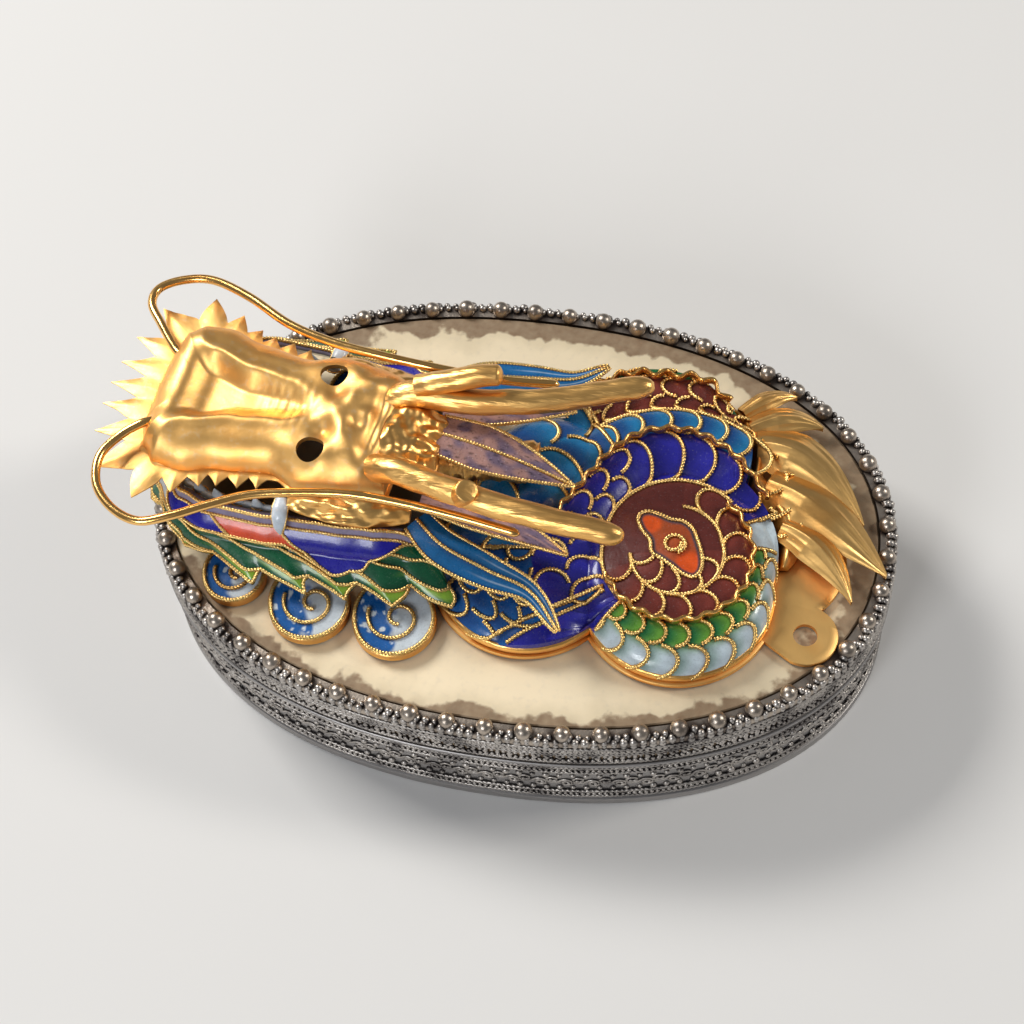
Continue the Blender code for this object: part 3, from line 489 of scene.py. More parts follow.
def circle(middle: Point, span: float | np.ndarray, turn: np.ndarray, z: float | np.ndarray) -> np.ndarray:
    """Points at angles round a middle, so far from it and so high."""
    return np.column_stack((middle[0] + span * np.cos(turn), middle[1] + span * np.sin(turn), z + 0 * turn))


def unit(ways: np.ndarray) -> np.ndarray:
    """The ways, each one long."""
    return ways / np.maximum(np.linalg.norm(ways, axis=-1, keepdims=True), 1e-9)


def beside(line: np.ndarray) -> np.ndarray:
    """The level ways to the left of a line."""
    way = np.gradient(line, axis=0)
    return unit(np.column_stack((-way[:, 1], way[:, 0], np.zeros(len(line)))))


def sweep(path: np.ndarray, width: np.ndarray, height: np.ndarray, sides: int) -> Form:
    """A bar along a path, oval in section.

    Args:
        path: its middle line.
        width: half its width at each point, level and across the path.
        height: half its height there.
        sides: points round the section.

    Returns:
        The closed form.
    """
    along = unit(np.gradient(path, axis=0))
    side = unit(np.cross(along, (0.0, 0.0, 1.0)))
    up = np.cross(side, along)
    turn = turns(sides)
    across, rise = np.cos(turn) * width[:, None], np.sin(turn) * height[:, None]
    return loft(path[:, None] + side[:, None] * across[..., None] + up[:, None] * rise[..., None])


def swollen(form: Form, path: np.ndarray, share: np.ndarray) -> Form:
    """A swept form whose points stand out from its path by a share of their distance."""
    middle = np.vstack((path.repeat((len(form.points) - 2) // len(path), 0), path[:1], path[-1:]))
    form.points = middle + (form.points - middle) * share[:, None]
    return form


def ball(radius: float, around: int, levels: int) -> Form:
    """A small ball of few faces."""
    angles = np.linspace(-math.pi / 2, math.pi / 2, levels + 1)[1:-1].tolist()
    turn = turns(around)
    form = loft(np.stack([circle((0, 0), radius * math.cos(a), turn, radius * math.sin(a)) for a in angles]))
    form.points[-2], form.points[-1] = (0, 0, -radius), (0, 0, radius)
    return form


def table(pairs: Sequence[tuple[float, float]], x: np.ndarray | float) -> np.ndarray:
    """The smooth value at x of a table of (x, value) pairs."""
    at = np.atleast_1d(np.asarray(x, float))
    places = np.array([pair[0] for pair in pairs])
    values = np.array([pair[1] for pair in pairs])
    i = np.clip(np.searchsorted(places, at) - 1, 0, len(places) - 2)
    share = np.clip((at - places[i]) / (places[i + 1] - places[i]), 0, 1)
    made = values[i] + (values[i + 1] - values[i]) * share * share * (3 - 2 * share)
    return made if np.ndim(x) else made[0]


def at_share(want: np.ndarray, known: np.ndarray, rows: np.ndarray) -> np.ndarray:
    """The rows' values at wanted places, straight between the known ones."""
    return np.stack([np.interp(want, known, column) for column in rows.T], -1)


def reach_along(line: np.ndarray) -> np.ndarray:
    """How far each point is along a line."""
    return np.concatenate(([0.0], np.cumsum(np.linalg.norm(np.diff(line, axis=0), axis=1))))


def spread(line: np.ndarray, count: int) -> np.ndarray:
    """Points at equal distances along a line."""
    reach = reach_along(line)
    want = np.linspace(0, reach[-1], count)
    return at_share(want, reach, line)


def curve(points: Sequence[Point], count: int) -> np.ndarray:
    """Evenly spread points on a Catmull-Rom curve through the given ones."""
    known = np.array(points, float)
    known = np.vstack((2 * known[0] - known[1], known, 2 * known[-1] - known[-2]))
    t = np.linspace(0, 1, 13)[:-1, None]
    fine = []
    for p0, p1, p2, p3 in zip(known, known[1:], known[2:], known[3:]):
        fine.append(0.5 * (2 * p1 + (p2 - p0) * t + (2 * p0 - 5 * p1 + 4 * p2 - p3) * t ** 2
                           + (3 * p1 - p0 - 3 * p2 + p3) * t ** 3))
    return spread(np.vstack((*fine, known[-2])), count)


def on_lid(points: Sequence[Point], count: int) -> np.ndarray:
    """Evenly spread points on a curve through points whose heights count from the lid."""
    return curve([(x, y, LID_TOP + z) for x, y, z in points], count)


def blade_line(base: np.ndarray, middle: np.ndarray, tip: np.ndarray, half: float, root: float,
               count: int) -> tuple[np.ndarray, np.ndarray, np.ndarray]:
    """The bowed middle line of a pointed blade.

    Args:
        base: where it starts.
        middle: what it bends towards.
        tip: its point.
        half: half its greatest width.
        root: its width at the base, as a share of that.
        count: how many points to give.

    Returns:
        The shares along the line, its points and half its width at each.
    """
    share = 0.985 * np.linspace(0, 1, count)
    s = share[:, None]
    line = base * (1 - s) ** 2 + middle * 2 * s * (1 - s) + tip * s * s
    widest = 0.33
    narrowing = 1 - (np.maximum(share - widest, 0) / 0.67) ** 1.7
    wide = np.where(share < widest, root + (1 - root) * share / widest, narrowing)
    return share, line, np.maximum(half * wide, 0.12)


def length_of(line: np.ndarray) -> float:
    """How long a line is."""
    return float(np.linalg.norm(np.diff(line, axis=0), axis=1).sum())


def ripple(points: np.ndarray, size: float, seed: int) -> np.ndarray:
    """Smooth lumps about 0, from -1 to 1, of a typical size in millimetres."""
    rng = np.random.default_rng(seed)
    total = np.zeros(points.shape[:-1])
    for _ in range(9):
        way = rng.normal(size=points.shape[-1])
        way *= TAU / size * rng.uniform(0.6, 1.5) / np.linalg.norm(way)
        total += np.sin(points @ way + rng.uniform(0, TAU))
    return total / 4.5


def ease(x: np.ndarray, low: float, high: float) -> np.ndarray:
    """A smooth step from 0 at low to 1 at high."""
    share = np.clip((x - low) / (high - low), 0, 1)
    return share * share * (3 - 2 * share)


def round_over(share: np.ndarray) -> np.ndarray:
    """A quarter round: 1 at share 0, falling to 0 at 1 and beyond."""
    return np.sqrt(np.maximum(0.0, 1 - share * share))


def blend(first: Point, second: Point, share: np.ndarray) -> np.ndarray:
    """Colours between two others, one for each share."""
    share = np.asarray(share)[..., None]
    return np.array(first) * (1 - share) + np.array(second) * share


def colour(code: str) -> Colour:
    """A colour from its code, as light."""
    parts = [int(code[i:i + 2], 16) / 255 for i in (0, 2, 4)]
    return tuple(((c + 0.055) / 1.055) ** 2.4 if c > 0.04045 else c / 12.92 for c in parts)


def dress(made: bpy.types.Object, finish: Finish, replaces: Sequence[str] = ()) -> bpy.types.Object:
    """Gives a piece its finish and its place on the part.

    Args:
        made: the piece, in place.
        finish: its finish.
        replaces: the nodes that it stands for.

    Returns:
        The piece.
    """
    made.data.materials.clear()
    made.data.materials.append(finish.material())
    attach(made, BODY)
    if replaces:
        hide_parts(*replaces)
    LOG.info("%s: %d faces", made.name, len(made.data.polygons))
    return made


def put(name: str, data: bpy.types.ID) -> bpy.types.Object:
    """A new object in the scene."""
    made = bpy.data.objects.new(name, data)
    bpy.context.scene.collection.objects.link(made)
    return made


def solid(name: str, form: Form, weld: bool = False) -> bpy.types.Object:
    """An object in the scene from a form, with its faces pointing out.

    Args:
        name: the object's name.
        form: its mesh, in millimetres.
        weld: whether points in one place become one.

    Returns:
        The object.
    """
    data = bpy.data.meshes.new(name)
    data.from_pydata((form.points * MM).tolist(), [], form.faces)
    if form.tints is not None:
        layer = data.attributes.new("tint", "FLOAT_COLOR", "POINT")
        layer.data.foreach_set("color", np.hstack((form.tints, np.ones((len(form.tints), 1)))).ravel())
    mesh = bmesh.new()
    mesh.from_mesh(data)
    if weld:
        bmesh.ops.remove_doubles(mesh, verts=mesh.verts, dist=2e-7)
    bmesh.ops.recalc_face_normals(mesh, faces=mesh.faces)
    mesh.to_mesh(data)
    mesh.free()
    return put(name, data)


def piece(name: str, form: Form, finish: Finish, replaces: Sequence[str] = (),
          sharp: float = 40.0) -> bpy.types.Object:
    """A finished piece from a form.

    Args:
        name: the piece's name.
        form: its mesh, in millimetres.
        finish: its finish.
        replaces: the nodes that it stands for.
        sharp: edges above this angle, in degrees, stay sharp.

    Returns:
        The piece.
    """
    made = solid(name, form, True)
    made.data.shade_smooth()
    made.data.set_sharp_from_angle(angle=math.radians(sharp))
    return dress(made, finish, replaces)


def plain(made: bpy.types.Object, modifier: bpy.types.Modifier) -> None:
    """Turns an object and its modifier into a plain mesh."""
    depsgraph = bpy.context.evaluated_depsgraph_get()
    data = bpy.data.meshes.new_from_object(made.evaluated_get(depsgraph), depsgraph=depsgraph)
    made.modifiers.remove(modifier)
    made.data = data


def pierce(made: bpy.types.Object, tool: Form) -> None:
    """Cuts a form out of a piece, and leaves a plain mesh."""
    cutter = solid("tool", tool)
    cut = made.modifiers.new("cut", "BOOLEAN")
    cut.operation, cut.solver, cut.object = "DIFFERENCE", "EXACT", cutter
    plain(made, cut)
    bpy.data.objects.remove(cutter)


class Grower:
    """Grows repeated work along lines with a Geometry Nodes tree."""

    SIZES: dict[str, str] = {}

    def __init__(self) -> None:
        """Builds the tree, with a named input for each size."""
        self.tree = bpy.data.node_groups.new(type(self).__name__, "GeometryNodeTree")
        face = self.tree.interface
        face.new_socket("Geometry", in_out="INPUT", socket_type="NodeSocketGeometry")
        face.new_socket("Geometry", in_out="OUTPUT", socket_type="NodeSocketGeometry")
        for name, kind in {**self.SIZES, "Finish": "Material"}.items():
            face.new_socket(name, in_out="INPUT", socket_type=f"NodeSocket{kind}")
        self.nodes = Nodes(self.tree)
        self.given = self.tree.nodes.new("NodeGroupInput")
        grown = self.grow(self.nodes.add("GeometryNodeMeshToCurve", {}, {0: self.given_value("Geometry")}))
        grown = self.nodes.add("GeometryNodeRealizeInstances", {}, {0: grown})
        grown = self.nodes.add("GeometryNodeSetShadeSmooth", {}, {0: grown})
        inputs = {0: grown, "Material": self.given_value("Finish")}
        grown = self.nodes.add("GeometryNodeSetMaterial", {}, inputs)
        self.tree.links.new(grown.socket, self.tree.nodes.new("NodeGroupOutput").inputs[0])

    def given_value(self, name: str) -> Value:
        """One of the tree's inputs."""
        return Value(self.nodes, self.given.outputs[name])

    def grow(self, line: Value) -> Value:
        """What grows along the lines."""
        raise NotImplementedError

    def along(self, name: str, lines: Sequence[np.ndarray], finish: Finish, closed: bool = False,
              replaces: Sequence[str] = (), **sizes: object) -> bpy.types.Object:
        """A finished piece grown along lines.

        Args:
            name: the piece's name.
            lines: the lines' points, in millimetres.
            finish: its finish.
            closed: whether each line ends where it starts.
            replaces: the nodes that it stands for.
            sizes: the tree's inputs, in metres or radians a metre.

        Returns:
            The piece, a plain mesh.
        """
        data = bpy.data.meshes.new(name)
        edges, start = [], 0
        for line in lines:
            count = len(line)
            edges += [(start + i, start + i + 1) for i in range(count - 1)]
            if closed:
                edges.append((start + count - 1, start))
            start += count
        data.from_pydata((np.vstack(lines) * MM).tolist(), edges, [])
        carrier = put(name, data)
        modifier = carrier.modifiers.new("grow", "NODES")
        modifier.node_group = self.tree
        for item in self.tree.interface.items_tree:
            if item.in_out == "INPUT" and item.name in sizes:
                modifier[item.identifier] = sizes[item.name]
            elif item.in_out == "INPUT" and item.name == "Finish":
                modifier[item.identifier] = finish.material()
        plain(carrier, modifier)
        bpy.data.meshes.remove(data)
        return dress(carrier, finish, replaces)


class Wire(Grower):
    """Drawn wire and strip along lines: round or flat, plain, twisted or crimped."""

    SIZES = {"Width": "Float", "Height": "Float", "Twist": "Float", "Crimp": "Float", "Crimps": "Float",
             "Step": "Float", "Sides": "Int"}

    def grow(self, line: Value) -> Value:
        """The wire along each line."""
        add, given = self.nodes.add, self.given_value
        steps = {"Curve": line, "Length": given("Step")}
        line = add("GeometryNodeResampleCurve", {"mode": "LENGTH"}, steps)
        line = add("GeometryNodeSetCurveNormal", {"mode": "Z_UP"}, {"Curve": line})
        reach = add("GeometryNodeSplineParameter", output="Length")
        swing = (reach * given("Crimps")).sine() * given("Crimp")
        normal = add("GeometryNodeInputNormal")
        offset = add("ShaderNodeVectorMath", {"operation": "SCALE"}, {0: normal, "Scale": swing})
        line = add("GeometryNodeSetPosition", {}, {"Geometry": line, "Offset": offset})
        line = add("GeometryNodeSetCurveTilt", {}, {"Curve": line, "Tilt": reach * given("Twist")})
        section = add("GeometryNodeCurvePrimitiveCircle", {"mode": "RADIUS"},
                      {"Resolution": given("Sides"), "Radius": 0.5})
        scale = add("ShaderNodeCombineXYZ", {}, {0: given("Width"), 1: given("Height"), 2: 1.0})
        section = add("GeometryNodeTransform", {}, {"Geometry": section, "Scale": scale})
        skin = {"Curve": line, "Profile Curve": section, "Fill Caps": True}
        return add("GeometryNodeCurveToMesh", {}, skin)


class Row(Grower):
    """The same small piece again and again along lines, turned with them and each a little different."""

    SIZES = {"Model": "Object", "Spacing": "Float", "Uneven": "Float", "Flip": "Float", "Seed": "Int"}

    def grow(self, line: Value) -> Value:
        """The pieces along each line."""
        add, given = self.nodes.add, self.given_value
        steps = {"Curve": line, "Length": given("Spacing")}
        line = add("GeometryNodeResampleCurve", {"mode": "LENGTH"}, steps)
        held = {"Object": given("Model")}
        model = add("GeometryNodeObjectInfo", {"transform_space": "ORIGINAL"}, held, "Geometry")
        axes = {"axis": "X", "pivot_axis": "Z"}
        tangent = add("GeometryNodeInputTangent")
        turned = add("FunctionNodeAlignRotationToVector", axes, {"Vector": tangent})
        count = add("GeometryNodeInputIndex")
        odd = add("ShaderNodeMath", {"operation": "MODULO"}, {0: count, 1: 2.0})
        flip = add("ShaderNodeCombineXYZ", {}, {0: 0.0, 1: odd * given("Flip"), 2: 0.0})
        turned = add("FunctionNodeRotateRotation", {"rotation_space": "LOCAL"}, {0: turned, 1: flip})
        uneven = given("Uneven")
        size = add("FunctionNodeRandomValue", {"data_type": "FLOAT"},
                   {2: 1 - uneven, 3: 1 + uneven, "Seed": given("Seed")}, 1)
        return add("GeometryNodeInstanceOnPoints", {},
                   {"Points": line, "Instance": model, "Rotation": turned, "Scale": size})


WIRE = Wire()
ROW = Row()


def twisted(name: str, lines: Sequence[np.ndarray], width: float, flat: float, pitch: float = 0.85,
            closed: bool = False, finish: Finish = GILT_WIRE, sides: int = 6,
            step: float = 0.11) -> bpy.types.Object:
    """Flat wire twisted into a rope along lines.

    Args:
        name: the piece's name.
        lines: where it runs.
        width: its width.
        flat: its thickness as a share of its width.
        pitch: the length of a full turn.
        closed: whether the lines are hoops.
        finish: its finish.
        sides: points round its section.
        step: the distance between its sections.

    Returns:
        The piece.
    """
    return WIRE.along(name, lines, finish, closed, Width=width * MM, Height=width * flat * MM,
                      Twist=TAU / (pitch * MM), Crimp=0.0, Crimps=0.0, Step=step * MM, Sides=sides)


def repeated(name: str, lines: Sequence[np.ndarray], model: Form, spacing: float, finish: Finish,
             uneven: float, flip: float = 0.0) -> bpy.types.Object:
    """The same small form along hoops.

    Args:
        name: the piece's name.
        lines: the hoops.
        model: the form, about its own middle, with +X along the line.
        spacing: from one to the next.
        finish: its finish.
        uneven: how much their sizes differ, as a share.
        flip: how far every second one is rolled over.

    Returns:
        The piece.
    """
    holder = solid("model", model)
    made = ROW.along(name, lines, finish, True, Model=holder, Spacing=spacing * MM, Uneven=uneven, Flip=flip,
                     Seed=len(name))
    bpy.data.objects.remove(holder)
    return made


LID_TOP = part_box("box_lid")[1].z / MM
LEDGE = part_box("box_lid")[0].z / MM - 0.3
HALF_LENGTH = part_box("box_base")[1].x / MM
HALF_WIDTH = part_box("box_base")[1].y / MM


@dataclass
class FiligreeBox:
    """The oval silver box: plain solids inside, and wires, grains and scrolls soldered over them."""

    power: float = 2.2
    sides: int = 240
    band: float = 0.6
    wall: float = 0.9
    floor: float = 1.0
    foot: float = 1.3
    bezel: float = 0.8
    bezel_gap: float = 0.4
    bezel_rise: float = 3.6
    bezel_overlap: float = 4.0
    grains: int = 52
    grain: float = 2.4
    grain_lift: float = 0.6
    grain_share: float = 0.97      # of its size, so that it keeps inside the strip's edge
    seat: float = 0.6
    border_drop: float = 2.4
    fine_sides: int = 720
    rope_inset: float = 0.34
    bead_inset: float = 0.39
    scroll_tilt: float = math.radians(28)

    def oval(self, inset: float, z: float, count: int = 0) -> np.ndarray:
        """A hoop of evenly spread points on the box's oval.

        Args:
            inset: how far it is drawn in from the outermost line.
            z: its height.
            count: its points, or 0 for the usual number.

        Returns:
            The points, without the first one again.
        """
        rough = self._on_oval(0, np.linspace(0, TAU, 1441))
        even = spread(rough, (count or self.sides) + 1)[:-1]
        ring = self._on_oval(inset, np.arctan2(even[:, 1], even[:, 0]))
        return np.column_stack((ring, np.full(len(ring), z)))

    def hoops(self, *places: tuple[float, float]) -> list[np.ndarray]:
        """Fine hoops at (inset, z)."""
        return [self.oval(inset, z, self.fine_sides) for inset, z in places]

    def ropes(self, name: str, *places: tuple[float, float]) -> None:
        """Twisted silver wires round the box at (inset, z)."""
        twisted(name, self.hoops(*places), width=0.62, flat=0.6, pitch=1.3, closed=True, finish=SILVER_BRIGHT,
                sides=5, step=0.26)

    def beads(self, name: str, bead: Form, spacing: float, uneven: float,
              *places: tuple[float, float]) -> None:
        """Rows of small bright grains round the box at (inset, z)."""
        repeated(name, self.hoops(*places), bead, spacing, SILVER_BRIGHT, uneven)

    def _on_oval(self, inset: float, turn: np.ndarray) -> np.ndarray:
        """Points of the oval at angles about its middle."""
        a, b = HALF_LENGTH - inset, HALF_WIDTH - inset
        parts = np.abs(np.cos(turn) / a) ** self.power + np.abs(np.sin(turn) / b) ** self.power
        size = parts ** (-1 / self.power)
        return np.column_stack((size * np.cos(turn), size * np.sin(turn)))

    def shell(self, profile: Sequence[tuple[float, float]]) -> Form:
        """A solid whose rings are ovals; the profile lists (inset, z)."""
        return loft(np.stack([self.oval(inset, z) for inset, z in profile]))

    def build(self) -> None:
        """Builds the base, the lid and the work on both."""
        self.base()
        self.lid()
        self.border()
        self.side_work()

    def base(self) -> None:
        """The box itself with its foot and the collar that the lid slips over."""
        inner = self.band + self.wall
        collar = inner + self.bezel_gap
        top, foot = LEDGE + self.bezel_rise, LEDGE - self.bezel_overlap
        profile = (
            (0.25, 0), (0, 0.25), (0, self.foot - 0.3), (0.15, self.foot), (0.5, self.foot + 0.12),
            (self.band, self.foot + 0.4), (self.band, LEDGE - 1.0), (0.3, LEDGE - 0.75), (0, LEDGE - 0.6),
            (0, LEDGE - 0.1), (0.1, LEDGE), (collar, LEDGE), (collar, top - 0.15), (collar + 0.15, top),
            (collar + self.bezel - 0.15, top), (collar + self.bezel, top - 0.15),
            (collar + self.bezel, foot), (inner, foot - self.wall), (inner, self.floor + 0.5),
            (inner + 0.5, self.floor),
        )
        piece("silver_box", self.shell(profile), SILVER, ["box_base"], sharp=30)

    def lid(self) -> None:
        """The lid: its pale plate, its skirt and the step where the grained border sits."""
        inner = self.band + self.wall
        step = self.grain + 0.3
        step_z = LID_TOP + self.grain_lift - self.grain / 2 - 0.3
        low = LEDGE + 0.3
        profile = (
            (step + self.wall, LID_TOP - self.wall), (inner, step_z - self.wall), (inner, low),
            (self.band, low), (self.band, step_z), (step, step_z), (step, LID_TOP - 0.15),
            (step + 0.15, LID_TOP), (step + 6.0, LID_TOP),
        )
        piece("silver_lid", self.shell(profile), PLATE, ["box_lid"], sharp=30)

    def border(self) -> None:
        """The strip round the lid with its large grains and the small bright ones outside them."""
        low = LID_TOP + self.grain_lift - self.grain / 2
        inner, outer, top = self.band, 0.4, low + self.seat
        foot = low - self.border_drop
        section = ((inner, foot), (outer, foot + 0.15), (outer, top - 0.2), (outer + 0.15, top),
                   (self.grain, top), (self.grain, low), (inner, low))
        rings = np.stack([self.oval(inset, z) for inset, z in section], 1)
        piece("border_strip", loft(rings, "join"), SILVER_GRAIN, ["granule_border"])
        lines = self.hoops((self.grain / 2 + 0.3, LID_TOP + self.grain_lift))
        large = ball(self.grain / 2, 16, 10)
        large.points *= self.grain_share
        spacing = length_of(np.vstack((lines[0], lines[0][:1]))) / self.grains
        repeated("border_grains", lines, large, spacing * 0.9999, SILVER_GRAIN, 0.06)
        self.beads("border_small_grains", ball(0.5, 8, 5), 1.22, 0.3, (0.58, top + 0.05), (1.15, top + 0.2),
                   (0.58, top - 0.8))
        self.ropes("border_wires", (0.36, low - 0.9), (0.36, low - 1.9))
        self.beads("border_beads", ball(0.36, 7, 4), 0.8, 0.12, (0.4, low - 1.4))

    def side_work(self) -> None:
        """Twisted wires, rows of grains and scrolls round the skirt and the wall."""
        middle = (self.foot + LEDGE - 1.0) / 2
        heights = (LEDGE + 0.65, LEDGE + 3.0, LEDGE + 4.6, LEDGE - 1.4, LEDGE - 2.9, self.foot + 2.5,
                   self.foot + 0.95)
        self.ropes("side_wires", *((self.rope_inset, z) for z in heights))
        heights = (LEDGE + 1.2, LEDGE + 2.45, LEDGE + 4.0, LEDGE - 2.15, self.foot + 1.72)
        self.beads("side_beads", ball(0.34, 7, 4), 0.76, 0.12, *((self.bead_inset, z) for z in heights))
        self.beads("skirt_grains", ball(0.42, 8, 4), 1.6, 0.15, (0.49, LEDGE + 1.82))
        scrolls = self.hoops((self.band - 0.1, middle))
        repeated("wall_scrolls", scrolls, self.scroll(), 3.5, SILVER_BRIGHT, 0.04, math.pi)
        self.beads("wall_grains", ball(0.45, 8, 4), 1.75, 0.2, (0.54, middle + 1.9), (0.54, middle - 1.9))

    def scroll(self) -> Form:
        """An S-shaped wire scroll with curled ends and a grain in each curl."""
        turn = np.linspace(0, 1.35 * TAU, 26)
        radius = 0.32 + 0.72 * (turn / turn[-1])
        x, z = radius * np.cos(turn), radius * np.sin(turn)
        curl = np.column_stack((x - x[-1], np.zeros(len(x)), z - z[-1]))
        line = np.vstack((curl, -curl[::-1][1:]))
        c, s = math.cos(self.scroll_tilt), math.sin(self.scroll_tilt)
        line = np.column_stack((line[:, 0] * c - line[:, 2] * s, line[:, 1], line[:, 0] * s + line[:, 2] * c))
        wire = sweep(line, np.full(len(line), 0.17), np.full(len(line), 0.26), 5)
        grain = ball(0.3, 6, 4)
        ends = [Form(grain.points + line[i], grain.faces) for i in (0, -1)]
        return together([wire, *ends])


@dataclass
class Relief:
    """The dragon's drawing: where it stands on the lid and how high its coils rise."""

    base: float = 1.8
    eye: tuple[float, float] = (21.8, -6.3)
    crest_radius: float = 9.7
    crest_height: float = 3.4
    eye_height: float = 4.9
    coil: tuple = ((22.3, -9.8, 12.5), (22.3, -4.8, 12.4))
    shoulder: tuple[float, float, float] = (2.6, -9.2, 12.2)
    back: tuple[float, float, float] = (16.3, 9.0, 13.2)
    neck_root: tuple[float, float, float] = (3.0, 4.0, 9.5)
    shoulder_height: float = 3.6
    neck_height: float = 4.8
    loop: tuple = ((33.4, 2.0), (31.2, 4.8), (27.9, 8.2), (24.4, 10.4), (20.9, 11.5), (17.0, 11.2),
                   (13.5, 9.4), (10.7, 6.2), (8.7, 2.6), (6.1, -2.4), (3.4, -8.6), (5.4, -17.0))
    loop_height: float = 4.4
    loop_reach: float = 6.4
    ridge: tuple = ((5.8, 16.8), (8.2, 18.8), (12.0, 20.4), (17.0, 20.9), (22.0, 20.8), (25.4, 18.6))
    ridge_height: float = 2.9
    ridge_reach: float = 5.6

    def __post_init__(self) -> None:
        """Works out the crest lines."""
        self.loop_line = curve(self.loop, 160)
        self.ridge_line = curve(self.ridge, 80)
        self.discs = (*self.coil, self.shoulder, self.back, self.neck_root)

    def reach(self, turn: np.ndarray, discs: Sequence[Point], margin: float = 0.0) -> np.ndarray:
        """How far rays from the coil's eye run before they leave the last of the discs.

        Args:
            turn: the rays' angles.
            discs: the discs, as (x, y, radius).
            margin: how much wider the discs are taken.

        Returns:
            The lengths.
        """
        way = np.stack((np.cos(turn), np.sin(turn)), -1)
        longest = np.zeros(len(turn))
        for x, y, radius in discs:
            to_disc = np.array((x - self.eye[0], y - self.eye[1]))
            along = way @ to_disc
            off = np.abs(to_disc[0] * way[:, 1] - to_disc[1] * way[:, 0])
            inside = off < radius + margin
            far = along + np.sqrt(np.maximum(0, (radius + margin) ** 2 - off ** 2))
            longest = np.where(inside, np.maximum(longest, far), longest)
        return longest

    def to_line(self, turn: np.ndarray, line: np.ndarray, outside: float) -> np.ndarray:
        """How far rays from the coil's eye run to a crest line, and another length past its ends."""
        gap = line[:, :2] - self.eye
        angles = np.unwrap(np.arctan2(gap[:, 1], gap[:, 0]))
        order = np.argsort(angles)
        wrapped = angles.min() + np.mod(turn - angles.min(), TAU)
        lengths = np.interp(wrapped, angles[order], np.hypot(*gap.T)[order])
        return np.where(wrapped > angles.max(), outside, lengths)

    def _ridge(self, points: np.ndarray, line: np.ndarray, height: float, width: float,
               fade: tuple[float, float]) -> np.ndarray:
        """The height of a half-round ridge along a line that sinks towards its ends."""
        gaps = np.stack([np.hypot(points[:, 0] - x, points[:, 1] - y) for x, y in line])
        share = gaps.argmin(0) / (len(line) - 1)
        sink = np.minimum(1, np.minimum(share / fade[0], (1 - share) / fade[1]))
        return height * (0.55 + 0.45 * sink) * round_over(gaps.min(0) / width)

    def height(self, points: np.ndarray) -> np.ndarray:
        """How high the coils rise at points of the plan."""
        gap = points - self.eye
        radius = np.hypot(gap[:, 0], gap[:, 1])
        edge = self.reach(np.arctan2(gap[:, 1], gap[:, 0]), self.coil)
        inner = self.eye_height - (self.eye_height - self.crest_height) * radius / self.crest_radius
        past = (radius - self.crest_radius) / (edge - self.crest_radius)
        outer = self.crest_height * round_over(np.clip(past, 0, 1))
        heights = [np.where(radius < self.crest_radius, inner, outer),
                   self._ridge(points, self.loop_line, self.loop_height, self.loop_reach, (0.15, 0.3)),
                   self._ridge(points, self.ridge_line, self.ridge_height, self.ridge_reach, (0.3, 0.2))]
        domes = ((self.shoulder, self.shoulder_height), (self.neck_root, self.neck_height))
        for (x, y, size), height in domes:
            heights.append(height * round_over(np.hypot(points[:, 0] - x, points[:, 1] - y) / size))
        return np.maximum(0, np.max(heights, 0))

    def stand(self, points: np.ndarray, lift: float = 0.0) -> np.ndarray:
        """Points of the plan, set on the coils' surface and lifted from it."""
        return np.column_stack((points[:, :2], LID_TOP + self.base + self.height(points[:, :2]) + lift))


RELIEF = Relief()


